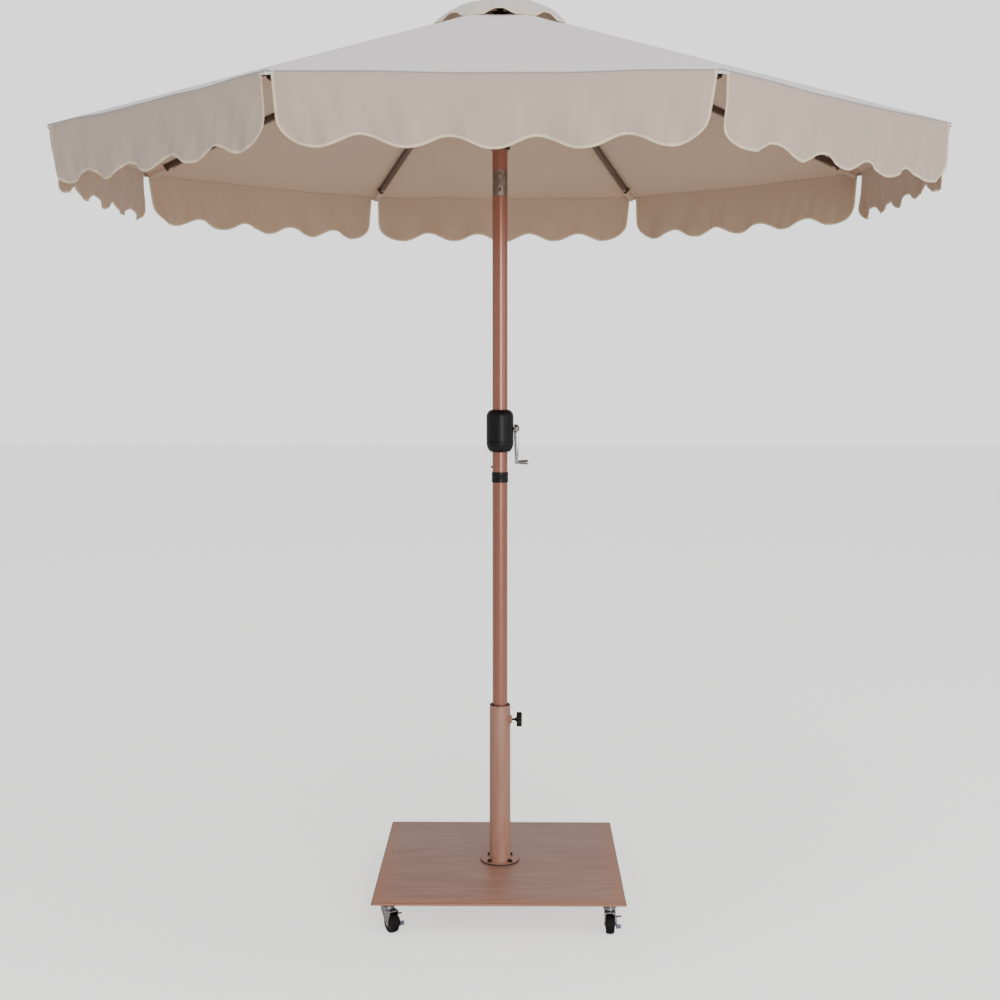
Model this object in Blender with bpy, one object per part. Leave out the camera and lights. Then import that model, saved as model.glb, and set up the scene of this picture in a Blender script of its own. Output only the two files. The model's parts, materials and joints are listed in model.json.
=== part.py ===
"""A patio umbrella with a crank, a tilt joint and a square steel stand on casters.

Metres, +Z up. The origin is on the floor under the middle of the pole; +X is the crank side and
-Y is the front. Every object below is one piece of the umbrella.
"""
import math

import bmesh
import bpy
from mathutils import Matrix, Vector

# ---- driving dimensions -------------------------------------------------------------------------
GAP = 0.0003                        # between pieces that touch

RIB_COUNT = 8
CANOPY_RADIUS = 1.07                # middle to fabric corner, along a rib
OPEN_ANGLE = math.radians(18.0)     # of the open ribs, below level
PIVOT_RADIUS = 0.034                # of the rib pivots in the hub and the strut pivots in the runner
HUB_PIVOT_Z = 2.1975
STRUT_SPAN = 0.45                   # pivot to pivot, and hub to strut pivot along a rib
RIB_LENGTH = 1.07                   # from the hub pivot
RIB_WIDTH, RIB_HEIGHT = 0.012, 0.015
RIB_FLOOR = 0.0045                  # underside of the rib tube above its pivot line
CLOTH = 0.0012                      # thickness of the canopy solid
CLOTH_LIFT = 0.0012                 # cloth above the middle of a rib, because it falls away to both sides
VENT_RADIUS = 0.150                 # of the opening at the top of the canopy
CAP_RADIUS = 0.1725
CAP_APEX_Z = 2.2425
CAP_ARCH = 0.020                    # rise of the vent cap's edge between the ribs
VALANCE_DROP, VALANCE_WAVE = 0.135, 0.023
VALANCE_GAP = 0.011                 # from the canopy's corner to the end of a valance
LOBES = 5

POLE_RADIUS, POLE_WALL = 0.019, 0.002
SPIGOT_RADIUS = POLE_RADIUS - POLE_WALL - GAP
TILT_Z = 1.8139                     # tilt pin
TILT_TOP_Z, TILT_BOTTOM_Z = 1.8375, 1.7739
KNUCKLE_RADIUS = 0.0188
STRAP_RADIUS, STRAP_HALF_WIDTH = 0.0199, 0.0105      # cheeks of the lower knuckle
HOUSING_RADIUS = 0.0335
HOUSING_TOP_Z, HOUSING_SEAM_Z, HOUSING_BOTTOM_Z = 1.246, 1.166, 1.139
CRANK_Z, CRANK_ARM = 1.1982, 0.0848
SNAP_Z = 1.1013
COLLAR_TOP_Z, COLLAR_BOTTOM_Z = 1.0883, 1.0628

PLATE_SIDE, PLATE_THICKNESS, PLATE_TOP_Z = 0.61, 0.006, 0.080
TUBE_RADIUS, TUBE_WALL, TUBE_TOP_Z = 0.0265, 0.002, 0.4912
FLANGE_RADIUS, FLANGE_THICKNESS = 0.050, 0.004
BOLT_CIRCLE = 0.037
KNOB_Z = 0.4514

CASTER_POSITION = 0.267             # of the swivels, in X and in Y
CASTER_TRAIL = 0.018                # swivel axis to axle
WHEEL_RADIUS, WHEEL_WIDTH = 0.0245, 0.020
# heading of each caster's trail, in degrees
CASTERS = {"front_left": -57, "front_right": -90, "back_left": 110, "back_right": 75}
CASTER_SIDES = {"front_left": (-1, -1), "front_right": (1, -1),
                "back_left": (-1, 1), "back_right": (1, 1)}

FINE, COARSE = 24, 12               # facets round a large and a small piece


# ---- making solids ------------------------------------------------------------------------------
def material(name, colour, roughness, metallic=0.0):
    finish = bpy.data.materials.new(name)
    finish.use_nodes = True
    shader = finish.node_tree.nodes["Principled BSDF"]
    shader.inputs["Base Color"].default_value = (*colour, 1.0)
    shader.inputs["Roughness"].default_value = roughness
    shader.inputs["Metallic"].default_value = metallic
    return finish


def link(name, bm, finish=None):
    """A bmesh becomes a named object, with its faces outwards."""
    bmesh.ops.remove_doubles(bm, verts=bm.verts, dist=1e-6)
    bmesh.ops.recalc_face_normals(bm, faces=bm.faces)
    mesh = bpy.data.meshes.new(name)
    bm.to_mesh(mesh)
    bm.free()
    piece = bpy.data.objects.new(name, mesh)
    bpy.context.collection.objects.link(piece)
    if finish:
        mesh.materials.append(finish)
    mesh.shade_smooth()
    mesh.set_sharp_from_angle(angle=math.radians(35))
    return piece


def turned(name, profile, finish=None, facets=FINE, axis="Z", centre=(0, 0, 0)):
    """A closed (radius, height) profile, turned about an axis through centre."""
    bm = bmesh.new()
    points = [bm.verts.new((radius, 0, height)) for radius, height in profile]
    edges = [bm.edges.new((points[i - 1], points[i])) for i in range(len(points))
             if profile[i - 1][0] > 0 or profile[i][0] > 0]
    bmesh.ops.spin(bm, geom=points + edges, cent=(0, 0, 0), axis=(0, 0, 1), angle=math.tau,
                   steps=facets, use_merge=True)
    turn = {"Z": Matrix(), "X": Matrix.Rotation(math.pi / 2, 4, "Y"),
            "Y": Matrix.Rotation(-math.pi / 2, 4, "X")}[axis]
    half_facet = Matrix.Rotation(math.pi / facets, 4, "Z")
    bm.transform(Matrix.Translation(centre) @ turn @ half_facet)
    return link(name, bm, finish)


def rod(name, radius, start, end, finish=None, facets=COARSE, axis="Z", centre=(0, 0, 0)):
    return turned(name, [(0, start), (radius, start), (radius, end), (0, end)], finish, facets, axis, centre)


def plate(name, outline, start, end, finish=None, plane="XZ"):
    """An outline in a plane, extruded across it from start to end."""
    place = {"XZ": lambda a, b, across: (a, across, b), "YZ": lambda a, b, across: (across, a, b),
             "XY": lambda a, b, across: (a, b, across)}[plane]
    bm = bmesh.new()
    face = bm.faces.new([bm.verts.new(place(a, b, start)) for a, b in outline])
    sweep = Vector(place(0, 0, end)) - Vector(place(0, 0, start))
    swept = bmesh.ops.extrude_face_region(bm, geom=[face])["geom"]
    bmesh.ops.translate(bm, vec=sweep, verts=[v for v in swept if isinstance(v, bmesh.types.BMVert)])
    return link(name, bm, finish)


def box(name, low, high, finish=None):
    return plate(name, [(low[0], low[1]), (high[0], low[1]), (high[0], high[1]), (low[0], high[1])],
                 low[2], high[2], finish, plane="XY")


def arc(centre, radius, start, end, steps):
    """Points on an arc between two angles in degrees, both ends included."""
    angles = [math.radians(start + (end - start) * i / steps) for i in range(steps + 1)]
    return [(centre[0] + radius * math.cos(a), centre[1] + radius * math.sin(a)) for a in angles]


def combine(piece, operation, tools):
    """Boolean the tools into the piece, and keep the result as the piece's own mesh."""
    for tool in tools:
        step = piece.modifiers.new(tool.name, "BOOLEAN")
        step.operation, step.solver, step.object = operation, "EXACT", tool
    bpy.context.view_layer.update()
    solid = bpy.data.meshes.new_from_object(piece.evaluated_get(bpy.context.evaluated_depsgraph_get()))
    piece.modifiers.clear()
    flat = bmesh.new()
    flat.from_mesh(solid)
    bmesh.ops.remove_doubles(flat, verts=flat.verts, dist=1e-6)
    bmesh.ops.triangulate(flat, faces=flat.faces)
    flat.to_mesh(solid)
    flat.free()
    piece.data = solid
    solid.name = piece.name
    for tool in tools:
        bpy.data.objects.remove(tool)
    solid.shade_smooth()
    solid.set_sharp_from_angle(angle=math.radians(35))
    return piece


def join(piece, *tools):
    return combine(piece, "UNION", tools)


def cut(piece, *tools):
    return combine(piece, "DIFFERENCE", tools)


def copy_of(piece, name):
    twin = piece.copy()
    twin.name = name
    bpy.context.collection.objects.link(twin)
    return twin


def pivot(name, place):
    """An empty on a joint's axis."""
    empty = bpy.data.objects.new(name, None)
    empty.location = place
    empty.empty_display_size = 0.03
    bpy.context.collection.objects.link(empty)
    bpy.context.view_layer.update()
    return empty


def hang(empty, *pieces):
    """Parent the pieces to a pivot without moving them."""
    for piece in pieces:
        piece.parent = empty
        piece.matrix_parent_inverse = empty.matrix_world.inverted()


for old in list(bpy.data.objects):
    bpy.data.objects.remove(old)

WOOD_FINISH = material("wood_finish", (0.34, 0.20, 0.14), 0.45)
POLE_FINISH = material("pole_finish", (0.42, 0.20, 0.13), 0.35)
BLACK_PLASTIC = material("black_plastic", (0.02, 0.02, 0.022), 0.45)
GREY_METAL = material("grey_metal", (0.25, 0.22, 0.19), 0.45, 0.7)
CHROME = material("chrome", (0.60, 0.61, 0.63), 0.2, 1.0)
RIB_PAINT = material("rib_paint", (0.09, 0.045, 0.03), 0.4)
RUBBER = material("rubber", (0.015, 0.015, 0.016), 0.65)
FABRIC = material("fabric", (0.58, 0.50, 0.45), 0.9)


# ---- stand --------------------------------------------------------------------------------------
def bolt_places():
    return [(BOLT_CIRCLE * math.cos(a), BOLT_CIRCLE * math.sin(a))
            for a in (math.radians(45 + 90 * i) for i in range(4))]


def make_stand():
    half, underside = PLATE_SIDE / 2, PLATE_TOP_Z - PLATE_THICKNESS
    base = box("base_plate", (-half, -half, underside), (half, half, PLATE_TOP_Z), WOOD_FINISH)
    cut(base, *[rod("hole", 0.0035, underside - 0.01, PLATE_TOP_Z + 0.01, facets=8, centre=(x, y, 0))
                for x, y in bolt_places()])

    foot, bore = PLATE_TOP_Z + GAP, TUBE_RADIUS - TUBE_WALL
    tube = turned("base_tube", [
        (bore, foot), (FLANGE_RADIUS - 0.001, foot), (FLANGE_RADIUS, foot + 0.001),
        (FLANGE_RADIUS, foot + FLANGE_THICKNESS), (TUBE_RADIUS + 0.002, foot + FLANGE_THICKNESS),
        (TUBE_RADIUS, foot + FLANGE_THICKNESS + 0.002), (TUBE_RADIUS, TUBE_TOP_Z), (bore, TUBE_TOP_Z),
    ], WOOD_FINISH)
    join(tube, turned("boss", [(0, 0.0252), (0.011, 0.0252), (0.0085, 0.031), (0, 0.031)],
                      facets=COARSE, axis="X", centre=(0, 0, KNOB_Z)))
    cut(tube, rod("screw_hole", 0.0034, 0.015, 0.04, facets=10, axis="X", centre=(0, 0, KNOB_Z)),
        *[rod("hole", 0.0035, foot - 0.01, foot + 0.01, facets=8, centre=(x, y, 0))
          for x, y in bolt_places()])

    seat = foot + FLANGE_THICKNESS + GAP
    bolt = turned("flange_bolt_1", [
        (0, underside - 0.004), (0.003, underside - 0.004), (0.003, seat), (0.0068, seat),
        (0.0068, seat + 0.0012), (0.0058, seat + 0.0012), (0.0058, seat + 0.0052), (0, seat + 0.0052),
    ], CHROME, facets=8)
    for number, (x, y) in enumerate(bolt_places(), 1):
        piece = bolt if number == 1 else copy_of(bolt, f"flange_bolt_{number}")
        piece.location = (x, y, 0)

    sleeve = turned("pole_sleeve", [
        (POLE_RADIUS + GAP, 0.400), (bore - GAP, 0.400), (bore - GAP, TUBE_TOP_Z - 0.003),
        (POLE_RADIUS + GAP, TUBE_TOP_Z - 0.003),
    ], BLACK_PLASTIC)
    cut(sleeve, rod("screw_hole", 0.0034, 0.015, 0.04, axis="X", centre=(0, 0, KNOB_Z)))


def make_clamp_knob():
    lobes = 6
    rim = [((0.0178 + 0.0012 * math.cos(lobes * a)) * math.cos(a),
            (0.0178 + 0.0012 * math.cos(lobes * a)) * math.sin(a))
           for a in (math.tau * i / 24 for i in range(24))]
    knob = plate("clamp_knob", rim, 0.0445, 0.0565, BLACK_PLASTIC, plane="YZ")
    join(knob, turned("screw", [
        (0, POLE_RADIUS + 0.0004), (0.003, POLE_RADIUS + 0.0004), (0.003, 0.040), (0.0055, 0.0405),
        (0.0105, 0.0447), (0.0105, 0.058), (0, 0.058),
    ], axis="X", facets=COARSE))
    knob.location = (0, 0, KNOB_Z)


def make_casters():
    axle_z = WHEEL_RADIUS
    top = PLATE_TOP_Z - PLATE_THICKNESS - GAP
    inner, outer = WHEEL_WIDTH / 2 + 0.0008, WHEEL_WIDTH / 2 + 0.0028
    crown = 0.0560
    leg = ([(-0.0135, crown), (-0.0135, crown - 0.006)]
           + arc((CASTER_TRAIL, axle_z), 0.0075, 205, 385, 5)
           + [(0.0300, crown - 0.006), (0.0300, crown)])
    fork = turned("caster_fork_front_left", [
        (0, crown - 0.001), (0.0150, crown - 0.001), (0.0150, crown + 0.0070), (0.0090, crown + 0.0120),
        (0.0085, top), (0, top),
    ], CHROME, facets=COARSE)
    join(fork, box("bridge", (-0.0135, -outer, crown - 0.0022), (0.0300, outer, crown)),
         *[plate("leg", leg, side * inner, side * outer) for side in (-1, 1)])
    join(fork, rod("axle", 0.003, -outer - 0.001, outer + 0.001, axis="Y", facets=8,
                   centre=(CASTER_TRAIL, 0, axle_z)))

    wheel = turned("caster_wheel_front_left", [
        (0.0034, -0.0100), (0.0215, -0.0100), (WHEEL_RADIUS, -0.0060), (WHEEL_RADIUS, 0.0060),
        (0.0215, 0.0100), (0.0034, 0.0100),
    ], RUBBER, axis="Y")

    # a steel rocker on the outside of the fork, with a pedal at each end
    face = outer + 0.0014
    rocker = ([(x, z) for x, z in arc((0, 0), 0.0065, 110, 250, 6)]
              + [(0.0030, -0.0105), (0.0170, -0.0060), (0.0170, 0.0060), (0.0030, 0.0190), (-0.0060, 0.0190)])
    pedal = plate("caster_brake_front_left", rocker, face, face + 0.0016, GREY_METAL)
    join(pedal, box("press", (-0.0058, face + 0.0010, 0.0172), (0.0028, face + 0.0130, 0.0188)),
         box("release", (0.0152, face + 0.0010, -0.0055), (0.0168, face + 0.0110, 0.0055)))

    for where, heading in CASTERS.items():
        sx, sy = CASTER_SIDES[where]
        spot = Vector((sx * CASTER_POSITION, sy * CASTER_POSITION, 0))
        turn = Matrix.Rotation(math.radians(heading), 4, "Z")
        hub = spot + turn @ Vector((CASTER_TRAIL, 0, axle_z))
        for piece, place in ((fork, spot), (wheel, hub), (pedal, hub)):
            twin = piece
            if where != "front_left":
                twin = copy_of(piece, piece.name.replace("front_left", where))
            twin.location = place
            twin.rotation_euler = (0, 0, math.radians(heading))


# ---- mast ---------------------------------------------------------------------------------------
def make_lower_mast():
    foot = PLATE_TOP_Z + 2 * GAP
    seat = foot + 0.005
    bore = POLE_RADIUS - POLE_WALL
    inner = SPIGOT_RADIUS - POLE_WALL
    turned("pole_foot", [
        (0, foot), (TUBE_RADIUS - TUBE_WALL - GAP, foot), (TUBE_RADIUS - TUBE_WALL - GAP, 0.115),
        (POLE_RADIUS + GAP, 0.115), (POLE_RADIUS + GAP, seat), (0, seat),
    ], BLACK_PLASTIC)
    lower = turned("lower_pole", [
        (bore, seat + GAP), (POLE_RADIUS, seat + GAP), (POLE_RADIUS, COLLAR_TOP_Z),
        (SPIGOT_RADIUS, COLLAR_TOP_Z), (SPIGOT_RADIUS, 1.153), (inner, 1.153), (inner, 1.050), (bore, 1.046),
    ], POLE_FINISH)
    cut(lower, rod("snap_hole", 0.0034, -0.030, -0.010, axis="X", centre=(0, 0, SNAP_Z)))
    turned("pole_collar", [
        (POLE_RADIUS + GAP, COLLAR_BOTTOM_Z), (0.0203, COLLAR_BOTTOM_Z), (0.0208, COLLAR_BOTTOM_Z + 0.001),
        (0.0208, COLLAR_TOP_Z - 0.001), (0.0203, COLLAR_TOP_Z), (POLE_RADIUS + GAP, COLLAR_TOP_Z),
    ], BLACK_PLASTIC)
    stub = turned("middle_pole", [
        (bore, COLLAR_TOP_Z + GAP), (POLE_RADIUS, COLLAR_TOP_Z + GAP), (POLE_RADIUS, HOUSING_SEAM_Z - 0.004),
        (bore, HOUSING_SEAM_Z - 0.004),
    ], POLE_FINISH)
    cut(stub, rod("snap_hole", 0.0034, -0.030, -0.010, axis="X", centre=(0, 0, SNAP_Z)))
    pin = turned("snap_pin", [
        (0, -0.0245), (0.0018, -0.0243), (0.0030, -0.0228), (0.0030, -0.0134), (0.0045, -0.0134),
        (0.0045, -0.0122), (0, -0.0122),
    ], CHROME, facets=COARSE, axis="X")
    pin.location = (0, 0, SNAP_Z)


def make_crank():
    barrel = ([(POLE_RADIUS + GAP, HOUSING_TOP_Z), (POLE_RADIUS + GAP, 1.224), (0.029, 1.220),
               (0.029, HOUSING_SEAM_Z + GAP), (HOUSING_RADIUS, HOUSING_SEAM_Z + GAP)]
              + arc((HOUSING_RADIUS - 0.0125, HOUSING_TOP_Z - 0.0125), 0.0125, 0, 90, 3))
    housing = turned("crank_housing", barrel, BLACK_PLASTIC)
    cut(housing, rod("shaft_hole", 0.0046, 0.015, 0.045, axis="X", centre=(0, 0, CRANK_Z)))
    turned("crank_housing_cap", [
        (POLE_RADIUS + GAP, HOUSING_SEAM_Z), (POLE_RADIUS + GAP, HOUSING_BOTTOM_Z)]
        + arc((HOUSING_RADIUS - 0.0125, HOUSING_BOTTOM_Z + 0.0125), 0.0125, 270, 360, 3)
        + [(HOUSING_RADIUS, HOUSING_SEAM_Z)], BLACK_PLASTIC)

    shaft = turned("crank_spool", [
        (0, -0.026), (0.004, -0.026), (0.004, -0.0125), (0.016, -0.0125), (0.016, -0.0110), (0.009, -0.0110),
        (0.009, 0.0110), (0.016, 0.0110), (0.016, 0.0125), (0.004, 0.0125), (0.004, 0.0405), (0, 0.0405),
    ], GREY_METAL, facets=COARSE, axis="X")
    shaft.location = (0, 0, CRANK_Z)

    arm = turned("crank_arm", [
        (0, 0.0410), (0.0044, 0.0410), (0.0044, 0.0345), (0.0095, 0.0345), (0.0110, 0.0370),
        (0.0105, 0.0420), (0.0080, 0.0465), (0, 0.0485),
    ], CHROME, facets=COARSE, axis="X")
    lever = plate("lever", [(0.0350, -0.008), (0.0448, -0.008), (0.0448, -CRANK_ARM), (0.0388, -CRANK_ARM)],
                  -0.0055, 0.0055)
    join(arm, lever, rod("eye", 0.0055, 0.0386, 0.0448, axis="X", centre=(0, 0, -CRANK_ARM)))
    join(arm, rod("grip_pin", 0.0020, 0.0440, 0.0690, axis="X", facets=8, centre=(0, 0, -CRANK_ARM)))
    arm.location = (0, 0, CRANK_Z)
    grip = turned("crank_grip", [
        (0.0023, 0.0452), (0.0042, 0.0452), (0.0050, 0.0470), (0.0060, 0.0640), (0.0058, 0.0690),
        (0.0040, 0.0712), (0, 0.0716), (0, 0.0694), (0.0023, 0.0694),
    ], CHROME, facets=COARSE, axis="X")
    grip.location = (0, 0, CRANK_Z - CRANK_ARM)


def make_tilt_joint():
    bore = POLE_RADIUS - POLE_WALL
    turned("upper_pole", [
        (bore, 1.2262), (POLE_RADIUS, 1.2262), (POLE_RADIUS, TILT_BOTTOM_Z - GAP), (bore, TILT_BOTTOM_Z - GAP),
    ], POLE_FINISH)
    lower = turned("tilt_bracket", [
        (0, TILT_BOTTOM_Z - 0.020), (SPIGOT_RADIUS, TILT_BOTTOM_Z - 0.020), (SPIGOT_RADIUS, TILT_BOTTOM_Z),
        (KNUCKLE_RADIUS, TILT_BOTTOM_Z), (KNUCKLE_RADIUS, TILT_Z - 0.0065), (0, TILT_Z - 0.0065),
    ], GREY_METAL)
    relief = [(-0.0143, TILT_Z - 0.0127), (0, TILT_Z), (-0.0250, TILT_Z)]      # the tongue tips this way
    cut(lower, rod("seat", 0.0191, -0.03, 0.03, facets=2 * FINE, axis="Y", centre=(0, 0, TILT_Z)),
        plate("relief", relief, -0.031, 0.031))
    strap = ([(-STRAP_HALF_WIDTH, TILT_BOTTOM_Z + 0.0013), (STRAP_HALF_WIDTH, TILT_BOTTOM_Z + 0.0013)]
             + arc((0, TILT_Z + 0.008), STRAP_HALF_WIDTH, 0, 180, 6))
    for side in (-1, 1):
        cheek = plate("strap", strap, side * 0.0150, side * 0.0300)
        combine(cheek, "INTERSECT", [rod("curve", STRAP_RADIUS, TILT_BOTTOM_Z, TILT_Z + 0.03, facets=32)])
        join(lower, cheek)
    cut(lower, rod("pin_hole", 0.0043, -0.03, 0.03, axis="Y", centre=(0, 0, TILT_Z)),
        rod("button_hole", 0.0046, -0.03, -0.0080, axis="Y", centre=(0, 0, TILT_BOTTOM_Z + 0.0060)),
        rod("lock_hole", 0.0026, -0.03, -0.0160, axis="Y", centre=(0, 0, TILT_BOTTOM_Z + 0.0165)))
    upper = plate("tilt_tongue", [(0.0187, TILT_TOP_Z), (-0.0187, TILT_TOP_Z)]
                  + arc((0, TILT_Z), 0.0187, 180, 360, 12), -0.0146, 0.0146, GREY_METAL)
    combine(upper, "INTERSECT", [rod("round", KNUCKLE_RADIUS, TILT_Z - 0.03, TILT_Z + 0.03, facets=FINE)])
    join(upper, rod("spigot", SPIGOT_RADIUS, TILT_TOP_Z - 0.002, TILT_TOP_Z + 0.022, facets=FINE))
    cut(upper, rod("pin_hole", 0.0043, -0.03, 0.03, axis="Y", centre=(0, 0, TILT_Z)))
    rod("tilt_pin", 0.0040, -0.0190, 0.0190, GREY_METAL, axis="Y", centre=(0, 0, TILT_Z))
    turned("tilt_button", [(0, -0.0200), (0.0032, -0.0200), (0.0042, -0.0190), (0.0042, -0.0120), (0, -0.0120)],
           CHROME, facets=COARSE, axis="Y", centre=(0, 0, TILT_BOTTOM_Z + 0.0060))


# ---- head: top pole, hub, runner, ribs and struts ------------------------------------------------
def slots(height_low, height_high, inner_radius, outer_radius):
    """Eight radial slots for the flat ends of the ribs or struts."""
    tools = []
    for number in range(RIB_COUNT):
        slot = box("slot", (inner_radius, -0.003, height_low), (outer_radius, 0.003, height_high))
        slot.data.transform(Matrix.Rotation(rib_azimuth(number), 4, "Z"))
        tools.append(slot)
    return tools


def rib_azimuth(number):
    return math.radians(22.5 + 45.0 * number)


def make_head():
    bore, top = POLE_RADIUS - POLE_WALL, HUB_PIVOT_Z + 0.0050
    turned("top_pole", [
        (bore, TILT_TOP_Z + GAP), (POLE_RADIUS, TILT_TOP_Z + GAP), (POLE_RADIUS, top), (bore, top),
    ], POLE_FINISH)
    low, high = HUB_PIVOT_Z - 0.0120, HUB_PIVOT_Z + 0.0145
    hub = turned("top_hub", [
        (POLE_RADIUS + GAP, low), (0.0440, low), (0.0440, high - 0.001), (0.0430, high), (0.0033, high),
        (0.0033, top + GAP), (POLE_RADIUS + GAP, top + GAP),
    ], BLACK_PLASTIC)
    cut(hub, *slots(low - 0.01, HUB_PIVOT_Z + 0.0105, 0.0240, 0.060))
    turned("cap_nut", [
        (0, top - 0.006), (0.0030, top - 0.006), (0.0030, high + GAP), (0.0080, high + GAP), (0.0080, high + 0.012),
        (0.0300, CAP_APEX_Z - 0.0085), (0.0300, CAP_APEX_Z - 0.0055), (0, CAP_APEX_Z - 0.0040),
    ], BLACK_PLASTIC)
    pulley = turned("cord_pulley", [
        (0, -0.0165), (0.0020, -0.0165), (0.0020, -0.0050), (0.0105, -0.0050), (0.0080, 0), (0.0105, 0.0050),
        (0.0020, 0.0050), (0.0020, 0.0165), (0, 0.0165),
    ], GREY_METAL, facets=COARSE, axis="Y")
    pulley.location = (0, 0, HUB_PIVOT_Z - 0.030)

    pivot_z = runner_pivot_z()
    low, high = pivot_z - 0.0320, pivot_z + 0.0060
    runner = turned("runner", [
        (0.0206, low), (0.0240, low), (0.0250, low + 0.001), (0.0255, pivot_z - 0.016),
        (0.0440, pivot_z - 0.0075), (0.0440, high), (0.0206, high),
    ], BLACK_PLASTIC)
    cut(runner, *slots(pivot_z - 0.0055, high + 0.01, 0.0270, 0.060))
    angle = rib_azimuth(0)
    hang(pivot("runner_pivot", (PIVOT_RADIUS * math.cos(angle), PIVOT_RADIUS * math.sin(angle), pivot_z)), runner)


def runner_pivot_z():
    return HUB_PIVOT_Z - 2 * STRUT_SPAN * math.sin(OPEN_ANGLE)


def make_ribs_and_struts():
    half, roof = RIB_WIDTH / 2, RIB_FLOOR + RIB_HEIGHT
    rib = box("rib_1", (0.0210, -half, RIB_FLOOR), (RIB_LENGTH, half, roof), RIB_PAINT)
    cut(rib, box("bore", (0.0240, -half + 0.001, RIB_FLOOR + 0.001),
                 (RIB_LENGTH + 0.01, half - 0.001, roof - 0.001)))
    tongue = arc((0, 0), 0.0055, 130, 290, 8) + [(0.0230, RIB_FLOOR + 0.0005), (0.0230, roof - 0.0005)]
    lug = arc((STRUT_SPAN, 0), 0.0040, 180, 360, 8) + [(STRUT_SPAN + 0.004, RIB_FLOOR + 0.0006),
                                                      (STRUT_SPAN - 0.004, RIB_FLOOR + 0.0006)]
    join(rib, plate("tongue", tongue, -0.0027, 0.0027), plate("lug", lug, -0.0025, 0.0025))

    strut = box("strut_1", (0.0120, -0.0055, -0.004), (STRUT_SPAN - 0.0120, 0.0055, 0.004), RIB_PAINT)
    cheek = arc((0, 0), 0.0040, 90, 270, 8) + [(0.0140, -0.0036), (0.0140, 0.0036)]
    nose = (arc((STRUT_SPAN, 0), 0.0040, -90, 90, 8)
            + [(STRUT_SPAN - 0.0140, 0.0036), (STRUT_SPAN - 0.0140, -0.0036)])
    join(strut, plate("cheek", cheek, 0.0029, 0.0054), plate("cheek", cheek, -0.0054, -0.0029),
         plate("nose", nose, -0.0027, 0.0027))

    for number in range(RIB_COUNT):
        angle = rib_azimuth(number)
        outward = Vector((math.cos(angle), math.sin(angle), 0))
        top = outward * PIVOT_RADIUS + Vector((0, 0, HUB_PIVOT_Z))
        down_the_rib = outward * math.cos(OPEN_ANGLE) - Vector((0, 0, math.sin(OPEN_ANGLE)))
        elbow = top + STRUT_SPAN * down_the_rib
        if number:
            this_rib, this_strut = copy_of(rib, f"rib_{number + 1}"), copy_of(strut, f"strut_{number + 1}")
        else:
            this_rib, this_strut = rib, strut
        this_rib.location, this_rib.rotation_euler = top, (0, OPEN_ANGLE, angle)
        this_strut.location, this_strut.rotation_euler = elbow, (0, math.pi - OPEN_ANGLE, angle)


# ---- fabric -------------------------------------------------------------------------------------
def cloth_z(radius):
    """Height of the canopy's upper face above a point of a rib, by its distance from the pole."""
    top = RIB_FLOOR + RIB_HEIGHT + CLOTH_LIFT + CLOTH
    return HUB_PIVOT_Z + top / math.cos(OPEN_ANGLE) - (radius - PIVOT_RADIUS) * math.tan(OPEN_ANGLE)


def valance_drop(share):
    """Depth of the valance at a share of its width: five lobes with rounded outer corners."""
    lobe = 1 / LOBES
    drop = VALANCE_DROP - VALANCE_WAVE / 2 * (1 - math.cos(math.tau * LOBES * (share - 0.5)))
    end = min(share, 1 - share)
    if end < lobe / 2:
        drop = VALANCE_DROP - 0.050 * (1 - math.sqrt(max(0.0, 1 - (1 - end / (lobe / 2)) ** 2)))
    return drop


def make_canopy():
    """Eight flat gores with a valance hanging from each, as one skin that is then given its thickness."""
    bm = bmesh.new()
    columns = 2 * LOBES
    side = 2 * CANOPY_RADIUS * math.sin(math.pi / RIB_COUNT)
    shares = [VALANCE_GAP / side + (1 - 2 * VALANCE_GAP / side) * i / columns for i in range(columns + 1)]
    for number in range(RIB_COUNT):
        corners = []
        for angle in (rib_azimuth(number), rib_azimuth(number + 1)):
            ray = Vector((math.cos(angle), math.sin(angle), 0))
            corners.append([ray * r + Vector((0, 0, cloth_z(r))) for r in (CANOPY_RADIUS, VENT_RADIUS)])
        (rim_a, vent_a), (rim_b, vent_b) = corners
        rim = [bm.verts.new(rim_a.lerp(rim_b, s)) for s in [0, *shares, 1]]
        vent = [bm.verts.new(vent_a.lerp(vent_b, s)) for s in [0, *shares, 1]]
        for i in range(len(rim) - 1):
            bm.faces.new((vent[i], rim[i], rim[i + 1], vent[i + 1]))
        hem = []
        for i in range(columns + 1):
            hem.append(bm.verts.new(rim[i + 1].co - Vector((0, 0, valance_drop(i / columns)))))
        for i in range(columns):
            bm.faces.new((rim[i + 1], hem[i], hem[i + 1], rim[i + 2]))
    bmesh.ops.remove_doubles(bm, verts=bm.verts, dist=1e-5)
    canopy = link("canopy", bm, FABRIC)
    thicken(canopy)


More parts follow.
